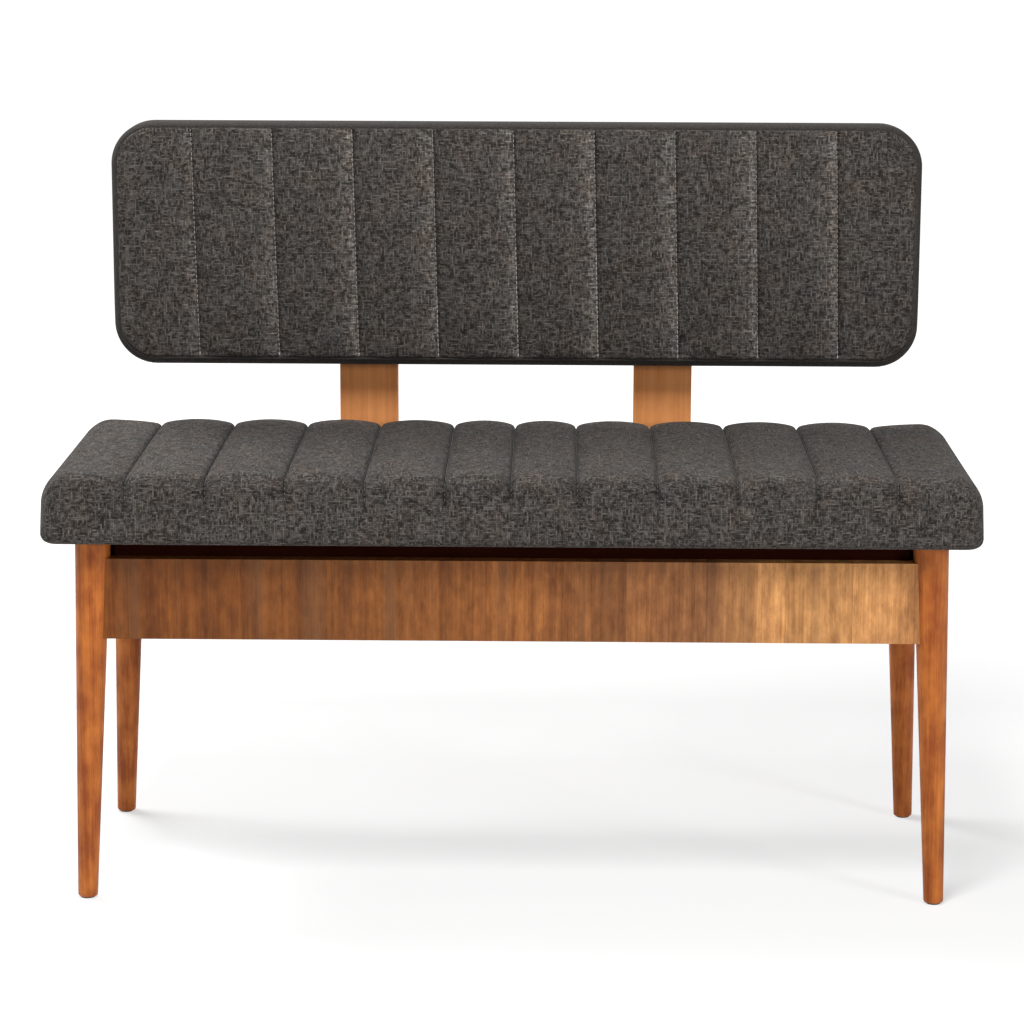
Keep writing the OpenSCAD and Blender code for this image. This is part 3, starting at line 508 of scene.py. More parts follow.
# The posts' wood is paler than the legs': painted light that makes up for the backrest's shadow on them
post_wood_painted_light = wood_paint("post_hardwood_painted_light", (0.8, 0.34, 0.12), (0.56, 0.2, 0.06), shift=(0.3, 0.1, 0))
beech_x = wood_paint("beech_along_x", turn=ALONG_X, **BEECH)
beech_y = wood_paint("beech_along_y", turn=ALONG_Y, **BEECH)
gap_shade_x = wood_paint("gap_shade_along_x", turn=ALONG_X, **GAP_SHADE_WOOD)
gap_shade_y = wood_paint("gap_shade_along_y", turn=ALONG_Y, **GAP_SHADE_WOOD)
print("six plain wood finishes")

# %% Veneered apron finish
LEAF_WIDTH, APRON_HALF = 0.085, 0.46
VENEER_LIGHT, VENEER_DARK = (0.47, 0.185, 0.062, 1), (0.17, 0.058, 0.018, 1)
JOINT_DARK, JOINT_STRENGTH = (0.05, 0.02, 0.01, 1), 0.5
BLOTCH_SCALE, BLOTCH_LIGHT, BLOTCH_DARK = (110, 110, 42), (1.2, 1.2, 1.15, 1), (0.8, 0.76, 0.74, 1)
BAND_SCALE, BAND_MOST, BAND_DARK = (42, 42, 1.2), 0.5, (0.14, 0.066, 0.03, 1)


def veneer_paint(name, leaf_turn, stops):
    """Upright veneer leaves; leaf_turn brings the board's length onto X, and the stops tint it along that."""
    material, tree, shader = paint(name, Specular_IOR_Level=0.2, Coat_Weight=0.02, Coat_Roughness=0.4)
    turned = turned_places(tree, leaf_turn)
    leaf = placed(tree, leaves, Vector=turned, Leaf_Width=LEAF_WIDTH)
    moved = shifted(turned, leaf["Offset"])
    wood = placed(tree, grain, Vector=moved, Light=VENEER_LIGHT, Dark=VENEER_DARK, Figure=0.55, Pores=0.7)
    shades = node(tree, "ShaderNodeValToRGB", Fac=spread(axes_of(turned)["X"], -APRON_HALF, APRON_HALF))
    ramp = shades.color_ramp
    while len(ramp.elements) < len(stops):
        ramp.elements.new(1.0)
    for element, (position, colour) in zip(ramp.elements, stops):
        element.position = position
        element.color = colour + (1,)
    toned = tinted(tinted(wood["Color"], shades.outputs[0]), spread(leaf["Tone"], 0.0, 1.0, 0.85, 1.15))
    blotches = noise(stretched(moved, BLOTCH_SCALE), detail=4, roughness=0.65)["Fac"]
    mottled = tinted(toned, blend_colour(spread(blotches, 0.35, 0.65), BLOTCH_LIGHT, BLOTCH_DARK))
    bands = noise(stretched(moved, BAND_SCALE), detail=1)["Fac"]
    banded = blend_colour(spread(bands, 0.56, 0.7, 0.0, BAND_MOST), mottled, BAND_DARK)
    joint = maths("MULTIPLY", leaf["Joint"], JOINT_STRENGTH)
    dress(shader, wood, strength=0.4, distance=0.0003, colour=blend_colour(joint, banded, JOINT_DARK))
    return material


# Along the front and rear aprons the tint darkens towards -X and brightens sharply towards +X: partly the
# veneer's own tone, partly painted light from the right
FRONT_TONE_AND_LIGHT_STOPS = [(0.0, (0.45, 0.34, 0.14)), (0.5, (0.82, 0.76, 0.58)), (0.74, (0.66, 0.72, 0.82)),
               (0.84, (1.7, 2.15, 2.35)), (0.95, (1.7, 2.15, 2.4)), (1.0, (1.2, 1.4, 1.5))]
SIDE_STOPS = [(0.0, (0.9, 0.86, 0.7)), (1.0, (1.0, 0.98, 0.85))]
front_veneer = veneer_paint("front_veneer", (0, 0, 0), FRONT_TONE_AND_LIGHT_STOPS)
side_veneer = veneer_paint("side_veneer", (0, 0, QUARTER), SIDE_STOPS)
print("two veneer finishes")

# %% Plywood finish
PLY_T, PLY_STRENGTH = 0.0015, 0.6
BIRCH_LIGHT, BIRCH_DARK, PLY_DARK = (0.66, 0.47, 0.29, 1), (0.5, 0.33, 0.18, 1), (0.24, 0.13, 0.06, 1)


def ply_paint(name, across, turn):
    """Plywood: birch faces, and plies that show at the edges as thin lines across the board's thickness."""
    material, tree, shader = paint(name, Specular_IOR_Level=0.3)
    face = placed(tree, grain, Vector=turned_places(tree, turn), Light=BIRCH_LIGHT, Dark=BIRCH_DARK,
                  Figure=0.5, Pores=0.15)
    turns = maths("MULTIPLY", axes_of(object_places(tree))[across], math.pi / PLY_T)
    ply = spread(maths("SINE", turns), -0.3, 0.3)
    normal = node(tree, "ShaderNodeNewGeometry").outputs["Normal"]
    edge = spread(maths("ABSOLUTE", axes_of(normal)[across]), 0.3, 0.7, 1.0, 0.0)
    dark_ply = maths("MULTIPLY", maths("MULTIPLY", ply, edge), PLY_STRENGTH)
    plies = blend_colour(dark_ply, face["Color"], PLY_DARK)
    dress(shader, face, strength=0.2, distance=0.0002, colour=plies)
    return material


seat_ply = ply_paint("seat_plywood", "Z", ALONG_X)
back_ply = ply_paint("back_plywood", "Y", ALONG_X)
print("two plywood finishes")

# %% [markdown]
# ## Metal and plastic
#
# The hardware is zinc-plated: a slightly yellow grey with cloudy patches, rubbed brighter here and
# there. The bolts that face backwards are browned, and the glides are dark moulded plastic with a
# fine matt grain. One group makes the cloudy wear for all of them.

# %% Node group: cloudy wear
WEAR_SCALE, SPECKLE_SCALE = 140, 2400

wear, wear_in, wear_out = group_start(
    "cloudy_wear",
    {"Vector": None, "Base": (0.5, 0.5, 0.5, 1), "Worn": (0.7, 0.7, 0.7, 1), "Low Roughness": 0.3,
     "High Roughness": 0.5},
    {"Color": "Color", "Roughness": "Float", "Height": "Float"})
patch_mask = spread(noise(wear_in["Vector"], scale=WEAR_SCALE, detail=4)["Fac"], 0.35, 0.65)
fill(wear_out["Color"], blend_colour(patch_mask, wear_in["Base"], wear_in["Worn"]))
fill(wear_out["Roughness"], spread(patch_mask, 0.0, 1.0, wear_in["Low Roughness"], wear_in["High Roughness"]))
fill(wear_out["Height"], noise(wear_in["Vector"], scale=SPECKLE_SCALE, detail=2)["Fac"])
print("cloudy_wear has", len(wear.nodes), "nodes")


# %% Metal and plastic finishes
def worn_paint(name, base, worn, low, high, metallic=1.0, grain_depth=0.00004):
    """A finish from the cloudy wear group, between two colours and two roughnesses."""
    material, tree, shader = paint(name, Metallic=metallic)
    worn_parts = placed(tree, wear, Vector=object_places(tree), Base=base + (1,), Worn=worn + (1,),
                        Low_Roughness=low, High_Roughness=high)
    dress(shader, worn_parts, strength=0.2, distance=grain_depth)
    return material


zinc = worn_paint("zinc_plating", (0.6, 0.56, 0.44), (0.72, 0.7, 0.62), low=0.24, high=0.42)
browned = worn_paint("browned_steel", (0.055, 0.042, 0.034), (0.1, 0.08, 0.065), low=0.3, high=0.5)
glide_plastic = worn_paint("glide_plastic", (0.035, 0.026, 0.02), (0.05, 0.038, 0.03), low=0.45, high=0.6,
                           metallic=0.0, grain_depth=0.0001)
print("three hardware finishes")

# %% Give the rigid nodes their finishes
FINISHES = [
    (leg_wood, ["leg_front_left", "leg_front_right", "leg_rear_left", "leg_rear_right"]),
    (post_wood_painted_light, ["backrest_post_left", "backrest_post_right"]),
    (front_veneer, ["apron_front", "apron_rear"]),
    (side_veneer, ["apron_left", "apron_right"]),
    (beech_x, ["frame_dowels"]),
    (beech_y, ["centre_rail"]),
    (gap_shade_x, ["seat_batten_front", "seat_batten_rear"]),
    (gap_shade_y, ["seat_batten_left", "seat_batten_right"]),
    (seat_ply, ["seat_board"]),
    (back_ply, ["back_board"]),
    (zinc, ["batten_screws", "seat_screws", "corner_brackets", "bracket_screws", "hanger_bolts",
            "hanger_washers", "hanger_nuts", "post_washers", "post_nuts", "back_tee_nuts"]),
    (browned, ["post_bolts", "back_bolts"]),
    (glide_plastic, ["foot_glides"]),
]

for finish, node_names in FINISHES:
    for node_name in node_names:
        slots = nodes[node_name].data.materials
        for index in range(len(slots)):
            slots[index] = finish
        if not len(slots):
            slots.append(finish)
print("finished", sum(len(node_names) for _, node_names in FINISHES), "rigid nodes")

# %% [markdown]
# ## The quilted pads
#
# Each pad is cloth and wadding sewn together in channels and drawn over foam. A pad starts as a cube
# whose skin is cut into a grid, close together beside the seams. Every grid point keeps its flat place,
# which says how far it is from an edge or a seam, and then moves: first round the edges, then in along
# the seams. Sculpting or a remesh would lose the even grid that the weave and the seams follow.

# %% Grid stations
MM = 0.001
TINY = 1e-6
SEAM_STEPS = (0.8, 2.0, 3.5, 5.5, 8.0, 11.5, 16.0, 22.0, 29.0, 36.0)
SEAM_END_MARGIN, LEAST_STEP = 0.03, 0.0007


def filled(stops, widest):
    """The stops in order, with evenly spaced places between them so that no gap is wider than widest."""
    stops = sorted(set(round(s, 5) for s in stops))
    places = [stops[0]]
    for start, end in zip(stops, stops[1:]):
        parts = max(1, math.ceil((end - start) / widest - TINY))
        places += [start + (end - start) * (i + 1) / parts for i in range(parts)]
    return places


def both_ends(half, insets):
    """Places at the given distances from both ends of -half..half."""
    return [side * (half - inset) for inset in insets for side in (-1, 1)]


def seam_stations(half, seams, edge_stops, widest):
    """Places along a pad: each seam with close neighbours, and the given stops near both ends."""
    stops = [-half, half] + both_ends(half, edge_stops)
    for seam in seams:
        near = [seam + side * step * MM for step in SEAM_STEPS for side in (-1, 1)]
        stops += [seam] + [place for place in near if abs(place) < half - SEAM_END_MARGIN]
    places = sorted(stops)
    kept = [places[0]]
    for place in places[1:]:
        if place - kept[-1] > LEAST_STEP or place in seams:
            kept.append(place)
    return filled(kept, widest)


# %% Meshes as arrays
def read_out(items, name, kind=float, width=1):
    """One property of all the items of a mesh, as an array of one row each."""
    values = np.zeros(len(items) * width, kind)
    items.foreach_get(name, values)
    return values.reshape(-1, width) if width > 1 else values


def places_of(mesh):
    """The mesh's vertex places as an array."""
    return read_out(mesh.vertices, "co", width=3)


def set_places(mesh, co):
    """Moves the mesh's vertices."""
    mesh.vertices.foreach_set("co", co.astype(np.float32).ravel())
    mesh.update()


def mesh_of(bm, name):
    """A new mesh from a bmesh, which is freed."""
    mesh = bpy.data.meshes.new(name)
    bm.to_mesh(mesh)
    bm.free()
    return mesh


def stretch_to(mesh, stations):
    """Moves an evenly cut mesh of size 1 so that its cuts lie at the stations of each axis."""
    co = places_of(mesh)
    for axis, places in enumerate(stations):
        co[:, axis] = np.interp(co[:, axis], np.linspace(-0.5, 0.5, len(places)), places)
    set_places(mesh, co)
    return mesh


def grid_block(name, stations):
    """A box whose skin is cut at the given stations along each axis."""
    bm = bmesh.new()
    bmesh.ops.create_cube(bm, size=1.0)
    for axis, places in enumerate(stations):
        along = [e for e in bm.edges if abs(e.verts[0].co[axis] - e.verts[1].co[axis]) > 0.5]
        bmesh.ops.subdivide_edges(bm, edges=along, cuts=len(places) - 2, use_grid_fill=True)
    return stretch_to(mesh_of(bm, name), stations)


def open_below(mesh, half, hem_inset):
    """Deletes the faces of the underside that lie inside the hem, and gives the places that are left."""
    flat = places_of(mesh)
    inside = (np.abs(flat[:, 0]) < half.x - hem_inset + 10 * TINY) & (flat[:, 2] < -half.z + TINY)
    inside &= np.abs(flat[:, 1]) < half.y - hem_inset + 10 * TINY
    bm = bmesh.new()
    bm.from_mesh(mesh)
    doomed = [f for f in bm.faces if all(inside[v.index] for v in f.verts)]
    bmesh.ops.delete(bm, geom=doomed, context="FACES")
    bm.to_mesh(mesh)
    bm.free()
    return places_of(mesh)


# %% Unroll the cloth over the edges
UNDERSIDE_UV_SHIFT = 2.0


def store_uv(mesh, flat_uv):
    """Writes a UV map in metres, one row for each corner of each face."""
    mesh.uv_layers.new(name="cloth").data.foreach_set("uv", flat_uv.astype(np.float32).ravel())


def unroll(mesh, flat):
    """A UV map in metres: the top laid flat, with the four sides folded up around it."""
    low, high = flat.min(0), flat.max(0)
    totals = read_out(mesh.polygons, "loop_total", int)
    corners = flat[read_out(mesh.loops, "vertex_index", int)]
    face = np.repeat(np.arange(len(totals)), totals)
    middle = np.stack([np.bincount(face, corners[:, a], len(totals)) / totals for a in range(3)], 1)[face]
    x, y, fall = corners[:, 0], corners[:, 1], high[2] - corners[:, 2]
    left, right = middle[:, 0] < -high[0] + TINY, middle[:, 0] > high[0] - TINY
    front, rear = middle[:, 1] < low[1] + TINY, middle[:, 1] > high[1] - TINY
    u = np.select([left, right], [x - fall, x + fall], x)
    v = np.select([front, rear], [y - fall, y + fall], y)
    u = np.where(middle[:, 2] < low[2] + TINY, x + UNDERSIDE_UV_SHIFT, u)
    store_uv(mesh, np.stack([u, v], 1))


# %% Round the block
def eased(share):
    """A share that is held within 0..1 and starts and ends gently."""
    share = np.clip(share, 0, 1)
    return share * share * (3 - 2 * share)


def fading(gap, reach):
    """1 at no gap, and fading away on both sides of it."""
    return np.exp(-np.abs(gap) / reach)


def softened(inset, gap, radius):
    """Moves a point near a sharp edge onto a quarter circle; also gives the outward lean and lift there."""
    lean = np.clip(radius - inset, 0, None)
    lift = np.clip(radius - gap, 0, None)
    reach = np.maximum(np.hypot(lean, lift), TINY * MM)
    pull = np.where((lean > 0) & (lift > 0), radius / reach, 1.0)
    return radius - lean * pull, radius - lift * pull, lean / reach, lift / reach


def from_corners(plan, half_x, half_y, corner_r):
    """Each point's nearest place within the corners' centres, and its direction and reach from there."""
    inner = np.stack([np.clip(plan[:, 0], corner_r - half_x, half_x - corner_r),
                      np.clip(plan[:, 1], corner_r - half_y, half_y - corner_r)], 1)
    away = plan - inner
    length = np.maximum(np.linalg.norm(away, axis=1), TINY * TINY)
    return inner, away / length[:, None], np.abs(away).max(1)


def round_block(flat, plan_r, top_r, low_r, end_r=None, low_plan_r=None):
    """Places on a block with rounded corners in plan and rounded edges above and below, and the normals.

    end_r is the upper edge's radius at the two ends and low_plan_r the corners' radius at the bottom,
    where they differ from the others.
    """
    half_x, half_y = flat[:, 0].max(), flat[:, 1].max()
    low, high = flat[:, 2].min(), flat[:, 2].max()
    share = (flat[:, 2] - low) / (high - low)
    corner_r = plan_r + ((low_plan_r or plan_r) - plan_r) * (1 - eased(share))
    inner, outward, reach = from_corners(flat[:, :2], half_x, half_y, corner_r)
    inset = corner_r - reach
    upper_r = top_r + ((end_r or top_r) - top_r) * outward[:, 0] ** 2
    top_inset, top_gap, top_lean, top_lift = softened(inset, high - flat[:, 2], upper_r)
    low_inset, low_gap, low_lean, low_lift = softened(inset, flat[:, 2] - low, low_r)
    upper = share > 0.5
    new_inset = np.where(upper, np.where(inset < upper_r, top_inset, inset),
                         np.where(inset < low_r, low_inset, inset))
    z = np.where(upper, np.where(high - flat[:, 2] < upper_r, high - top_gap, flat[:, 2]),
                 np.where(flat[:, 2] - low < low_r, low + low_gap, flat[:, 2]))
    plan = inner + outward * (corner_r - new_inset)[:, None]
    plan = np.where((inset < corner_r)[:, None], plan, flat[:, :2])
    lean = np.where(upper, top_lean, low_lean)
    lift = np.where(upper, top_lift, -low_lift)
    normal = np.concatenate([outward * lean[:, None], lift[:, None]], 1)
    normal /= np.maximum(np.linalg.norm(normal, axis=1), TINY * MM)[:, None]
    return np.concatenate([plan, z[:, None]], 1), normal


# %% Seams and channels
PUCKER_START = 0.003
WAVES_PER_SEAM = 3
rng = np.random.default_rng(7)


def channel_share(x, seams, half):
    """How far each point is across its channel, 0 and 1 at seams; the two end channels count from 0.5."""
    edges = np.array([-half] + list(seams) + [half])
    index = np.clip(np.searchsorted(edges, x, side="right") - 1, 0, len(edges) - 2)
    share = (x - edges[index]) / (edges[index + 1] - edges[index])
    share = np.where(index == 0, 0.5 + share / 2, share)
    return np.where(index == len(edges) - 2, share / 2, share)


def nearest_seam(x, seams):
    """The distance to the nearest seam, with its sign, and that seam's number."""
    gaps = x[:, None] - np.array(seams)[None, :]
    index = np.abs(gaps).argmin(1)
    return gaps[np.arange(len(x)), index], index


def ripple(along, seam_number, count, shortest, longest):
    """Uneven gathers along a seam, about -1 to 1, different on each seam."""
    waves = np.zeros(len(along))
    for seam in range(count):
        mine = seam_number == seam
        for _ in range(WAVES_PER_SEAM):
            length = rng.uniform(shortest, longest)
            phase = rng.uniform(0, 2 * math.pi)
            waves[mine] += np.sin(along[mine] * 2 * math.pi / length + phase) / WAVES_PER_SEAM
    return waves


def channels(x, path, seams, half, depth, puff_power, gathers, pucker_reach, pucker_height, right_share,
             crease_reach, crease_depth):
    """How far the quilting draws the cloth in, the distance to the nearest seam and its number.

    The gathers are highest a few millimetres beside the seam; right_share of them is left on its right.
    """
    gap, seam = nearest_seam(x, seams)
    puff = 1 - np.sin(np.pi * channel_share(x, seams, half)) ** puff_power
    waves = ripple(path, seam, len(seams), *gathers)
    waves = waves * fading(gap, pucker_reach) * (np.abs(gap) / PUCKER_START).clip(0, 1) * pucker_height
    pucker = waves * np.where(gap < 0, 1.0, right_share)
    return depth * puff + fading(gap, crease_reach) * crease_depth - pucker, gap, seam


def spots(flat, half):
    """How far out each point lies, 0 to 1, along X and along Y, and how high it lies, 0 to 1."""
    height = np.clip((flat[:, 2] + half.z) / (2 * half.z), 0, 1)
    return np.abs(flat[:, 0]) / half.x, np.abs(flat[:, 1]) / half.y, height


# %% Finish a piece
HEM_STRIP = 0.002


def new_piece(mesh, finish=None, smooth=True):
    """Makes a mesh a piece of the bench with the same name, shaded and finished."""
    piece = add_to_scene(mesh.name, mesh)
    if finish:
        mesh.materials.append(finish)
    mesh.polygons.foreach_set("use_smooth", np.full(len(mesh.polygons), smooth))
    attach(piece, "root")
    return piece


def thicken(piece, thickness, side=-1.0, rim=None, rim_share=0.3):
    """Gives cloth its thickness; rim thins it towards rim_share where its weights are low."""
    wall = piece.modifiers.new("cloth_thickness", "SOLIDIFY")
    wall.thickness = thickness
    wall.offset = side
    if rim is not None:
        group = piece.vertex_groups.new(name="thick")
        for index, weight in enumerate(rim):
            group.add([index], float(weight), "REPLACE")
        wall.vertex_group = "thick"
        wall.thickness_vertex_group = rim_share


def finish_pad(piece, node_name):
    """Hides the CAD node that a padded piece stands in for, and prints the piece's face count."""
    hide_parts(node_name)
    print(piece.name, len(piece.data.polygons), "faces")


def store_painted_seam_shading(mesh, tone):
    """Keeps the painted highlight and painted shade along the cloth's seams as an attribute that the finish
    reads.
    """
    mesh.attributes.new("seam_painted_shading", "FLOAT", "POINT").data.foreach_set("value", tone.astype(np.float32))


def half_and_middle(node_name):
    """Half the size of a CAD node's box, and its middle."""
    low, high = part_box(node_name)
    return (high - low) / 2, (low + high) / 2


def cover_block(name, half, stations, hem_inset):
    """A pad's skin, cut at the stations and open below, with its cloth unrolled; also its flat places."""
    mesh = grid_block(name, stations)
    flat = open_below(mesh, half, hem_inset)
    unroll(mesh, flat)
    print(name, "grid", [len(places) for places in stations], "vertices", len(flat))
    return mesh, flat


def finish_cover(mesh, flat, half, tone, thickness, rim_long, full, node_name, finish=None):
    """Makes a cover's mesh a piece, with wadding that thins out towards the hem."""
    store_painted_seam_shading(mesh, tone)
    piece = new_piece(mesh, finish)
    thicken(piece, thickness, rim=np.clip((flat[:, 2] + half.z - HEM_STRIP) / rim_long, 0, 1))
    finish_pad(piece, node_name)
    print("tone along its seams from", round(float(tone.min()), 2), "to", round(float(tone.max()), 2))


# %% [markdown]
# ## Seat cover
#
# The seat has eleven seams that run from front to back over the top and die out down the front. The
# channels bulge between them, the top is slightly crowned, and the long sides pull in a little between
# the corners. Underneath, the cloth turns in over the board and ends in a stapled hem.

# %% Seat cover: grid
SEAT_SEAMS = sorted([side * x * MM for x in (428.0, 339.4, 250.75, 162.1, 73.5) for side in (-1, 1)] + [0.0])
SEAT_EDGE_STOPS = [e * MM for e in (2, 4.5, 7.5, 11, 15, 19, 23.5, 28, 32, 36, 40)]
SEAT_PLAN_R, SEAT_LOW_PLAN_R = 0.04, 0.022
SEAT_TOP_R, SEAT_END_R, SEAT_LOW_R = 0.02, 0.037, 0.011
SEAT_HEM_INSET = 0.025
SEAT_WIDEST = (0.007, 0.0036, 0.0022)

seat_half, seat_mid = half_and_middle("seat_cover")
seat_xs = seam_stations(seat_half.x, SEAT_SEAMS, SEAT_EDGE_STOPS + [SEAT_HEM_INSET], SEAT_WIDEST[0])
seat_ys = filled(both_ends(seat_half.y, SEAT_EDGE_STOPS + [0, SEAT_HEM_INSET]), SEAT_WIDEST[1])
seat_zs = filled([-seat_half.z, seat_half.z] + [seat_half.z - e for e in SEAT_EDGE_STOPS]
                 + [-seat_half.z + e for e in SEAT_EDGE_STOPS[:4]], SEAT_WIDEST[2])
seat_mesh, seat_flat = cover_block("seat_cover_quilted", seat_half, (seat_xs, seat_ys, seat_zs),
                                   SEAT_HEM_INSET)
seat_fall = seat_half.z - seat_flat[:, 2]
seat_front = seat_flat[:, 1] < -seat_half.y + TINY
seat_rear = seat_flat[:, 1] > seat_half.y - TINY

# %% Seat cover: seams, tucks and crown
SEAM_FADE_START, SEAM_FADE_LONG = 0.02, 0.028
SEAT_QUILT = {"depth": 0.0065, "puff_power": 0.55, "gathers": (0.009, 0.021), "pucker_reach": 0.007,
              "pucker_height": 0.00055, "right_share": 1.0, "crease_reach": 0.0016,
              "crease_depth": 0.0032}
NOTCH_LONG, NOTCH_REACH, NOTCH_DEPTH = 0.015, 0.01, 0.0035
TUCK_LONG, TUCK_LOW, TUCK_HIGH, TUCK_WIDE = 0.05, 0.022, 0.008, 0.0028
TUCK_OVERRUN, LEFT_TUCK_DEPTH, RIGHT_TUCK_DEPTH = 1.15, 0.0024, 0.0012
SEAT_CROWN, SEAT_PULL_IN, END_PULL_SHARE, WAIST_POWER = 0.003, 0.002, 0.6, 0.8
# Painted shade: darker in each seam's crease, and darker along the left side of each seam for the channel's
# slope
CREASE_SHADE, CREASE_SHADE_REACH = 0.42, 0.0018
SEAM_SIDE_SHADE, SEAM_SIDE_SHADE_REACH = 0.2, 0.009
SEAT_PADDING = {"thickness": 0.005, "rim_long": 0.02, "full": 0.8}


def quilt_seat(flat, places, normals):
    """Draws the seat's seams in, crowns its top and pulls its sides in; also gives the painted shade along
    the seams.
    """
    sides = seat_front | seat_rear
    on_ends = np.abs(flat[:, 0]) > seat_half.x - TINY
    plain = on_ends | (flat[:, 2] < -seat_half.z + TINY)
    fall = np.where(sides, seat_fall, 0.0)
    fade = eased(1 - (fall - SEAM_FADE_START) / SEAM_FADE_LONG)
    path = flat[:, 1] + np.where(seat_front, -fall, fall)
    draw, gap, _ = channels(flat[:, 0], path, SEAT_SEAMS, seat_half.x, **SEAT_QUILT)
    from_edge = np.where(sides, seat_fall, seat_half.y - np.abs(flat[:, 1]))
    notch = np.exp(-(from_edge / NOTCH_LONG) ** 2) * fading(gap, NOTCH_REACH) * NOTCH_DEPTH
    draw = np.where(plain, 0, (draw + notch) * fade)
    tuck_share = (seat_half.x - np.abs(flat[:, 0])) / TUCK_LONG
    tuck_line = TUCK_LOW + (TUCK_HIGH - TUCK_LOW) * tuck_share
    tuck = np.exp(-((seat_fall - tuck_line) / TUCK_WIDE) ** 2) * np.clip(TUCK_OVERRUN - tuck_share, 0, 1)
    draw += np.where(seat_front, tuck * np.where(flat[:, 0] < 0, LEFT_TUCK_DEPTH, RIGHT_TUCK_DEPTH), 0)
    moved = places - normals * draw[:, None]
    # High powers of the place along each side keep the middle full, so only the corners fall away
    spot_x, spot_y, height = spots(flat, seat_half)
    moved[:, 2] += SEAT_CROWN * (1 - spot_x ** 5) * (1 - spot_y ** 4) * height ** 3
    pull = SEAT_PULL_IN * np.sin(np.pi * height) ** WAIST_POWER
    moved[:, 1] -= np.where(sides, np.sign(flat[:, 1]) * pull * (1 - spot_x ** 6), 0)
    moved[:, 0] -= np.where(on_ends, np.sign(flat[:, 0]) * pull * END_PULL_SHARE * (1 - spot_y ** 4), 0)
    # Painted shade in each crease and along each seam's left side
    seam_shade = fading(gap, CREASE_SHADE_REACH) * CREASE_SHADE
    seam_shade += np.where(gap < 0, fading(gap, SEAM_SIDE_SHADE_REACH), 0) * SEAM_SIDE_SHADE
    return moved, -seam_shade * np.where(plain, 0, fade)


seat_places, seat_normals = round_block(seat_flat, SEAT_PLAN_R, SEAT_TOP_R, SEAT_LOW_R, SEAT_END_R,
                                        SEAT_LOW_PLAN_R)
seat_places, seat_seam_shading = quilt_seat(seat_flat, seat_places, seat_normals)
set_places(seat_mesh, seat_places + np.array(seat_mid))
finish_cover(seat_mesh, seat_flat, seat_half, seat_seam_shading, node_name="seat_cover", finish=cover_cloth,
             **SEAT_PADDING)

# %% [markdown]
# ## Backrest cover
#
# The backrest is a thinner pad that stands on its edge. Its front panel has nine seams that lean a
# little, and it is sewn to a smooth band that rolls round the edge. The pad is built lying down with
# its front upwards, as it would be upholstered on a bench, and then tipped up.

# %% Backrest cover: grid
BACK_SEAM_PITCH = 0.0955
BACK_SEAMS = [(i - 4) * BACK_SEAM_PITCH for i in range(9)]
BACK_EDGE_STOPS = [e * MM for e in (1.3, 2.6, 3.8, 4.8, 5.5, 6, 6.6, 7.2, 8, 9.4, 11, 13, 16, 19, 24)]
BACK_CORNER_STOPS = [0.03, 0.037, 0.044, 0.05]
BACK_FRONT_STOPS, BACK_REAR_STOPS = [0.0015, 0.0035, 0.006, 0.009, 0.013], [0.0015, 0.003]
BACK_PLAN_R, BACK_FRONT_R, BACK_LOW_R, BACK_REAR_R = 0.05, 0.013, 0.02, 0.003
BACK_CROWN = 0.005
BACK_HEM_INSET = 0.024
BACK_WIDEST = (0.007, 0.0017, 0.004)
LOW_START, LOW_LONG = 0.3, 0.7

back_stand, back_mid = half_and_middle("back_cover")
back_half = Vector((back_stand.x, back_stand.z, back_stand.y - BACK_CROWN / 2))
back_xs = seam_stations(back_half.x, BACK_SEAMS, BACK_EDGE_STOPS + BACK_CORNER_STOPS, BACK_WIDEST[0])
back_ys = filled(both_ends(back_half.y, [0] + BACK_EDGE_STOPS + BACK_CORNER_STOPS[-1:]), BACK_WIDEST[1])
back_zs = filled([-back_half.z, back_half.z] + [back_half.z - e for e in BACK_FRONT_STOPS]
                 + [-back_half.z + e for e in BACK_REAR_STOPS], BACK_WIDEST[2])
back_mesh, back_flat = cover_block("back_cover_quilted", back_half, (back_xs, back_ys, back_zs),
                                   BACK_HEM_INSET)
back_face = back_flat[:, 2] > back_half.z - TINY
face_middles = read_out(back_mesh.polygons, "center", width=3)

# %% Backrest cover: seams and band
BACK_LEAN, LEAN_FREE_EDGE, LEAN_RISE = 0.0077, 0.052, 0.042
BACK_QUILT = {"depth": 0.0065, "puff_power": 0.5, "gathers": (0.0052, 0.011), "pucker_reach": 0.008,
              "pucker_height": 0.0011, "right_share": 0.4, "crease_reach": 0.0013,
              "crease_depth": 0.001}
BAND_SIDE, BAND_TOP, BAND_LOW = 0.0066, 0.0026, 0.008
BAND_REACH, BAND_DEPTH, PANEL_START = 0.0014, 0.0022, 0.006
LAP_PLACE, LAP_REACH, LAP_RISE = 0.006, 0.005, 0.0022
# A painted highlight left of each seam on the raised lap, and painted shade in the crease right of it; each
# seam has its own strength
LAP_HIGHLIGHT, LAP_HIGHLIGHT_REACH, LAP_SHADE, LAP_SHADE_REACH = 1.25, 0.01, 0.5, 0.003
LAP_SHADING_STRENGTHS = (0.55, 0.75, 1.0, 1.05, 1.0, 1.2, 1.15, 1.25, 1.15)
BACK_PADDING = {"thickness": 0.004, "rim_long": 0.012, "full": 0.85}


def band_distance(flat):
    """How far points lie inside the band's seam; the band is narrow above and wider below."""
    side = back_half.x - np.abs(flat[:, 0])
    end = back_half.y - np.abs(flat[:, 1])
    turn = np.clip((side - end) / (2 * BACK_PLAN_R) + 0.5, 0, 1)
    end_band = np.where(flat[:, 1] > 0, BAND_TOP, BAND_LOW)
    return np.minimum(side, end) - BAND_SIDE - (end_band - BAND_SIDE) * turn


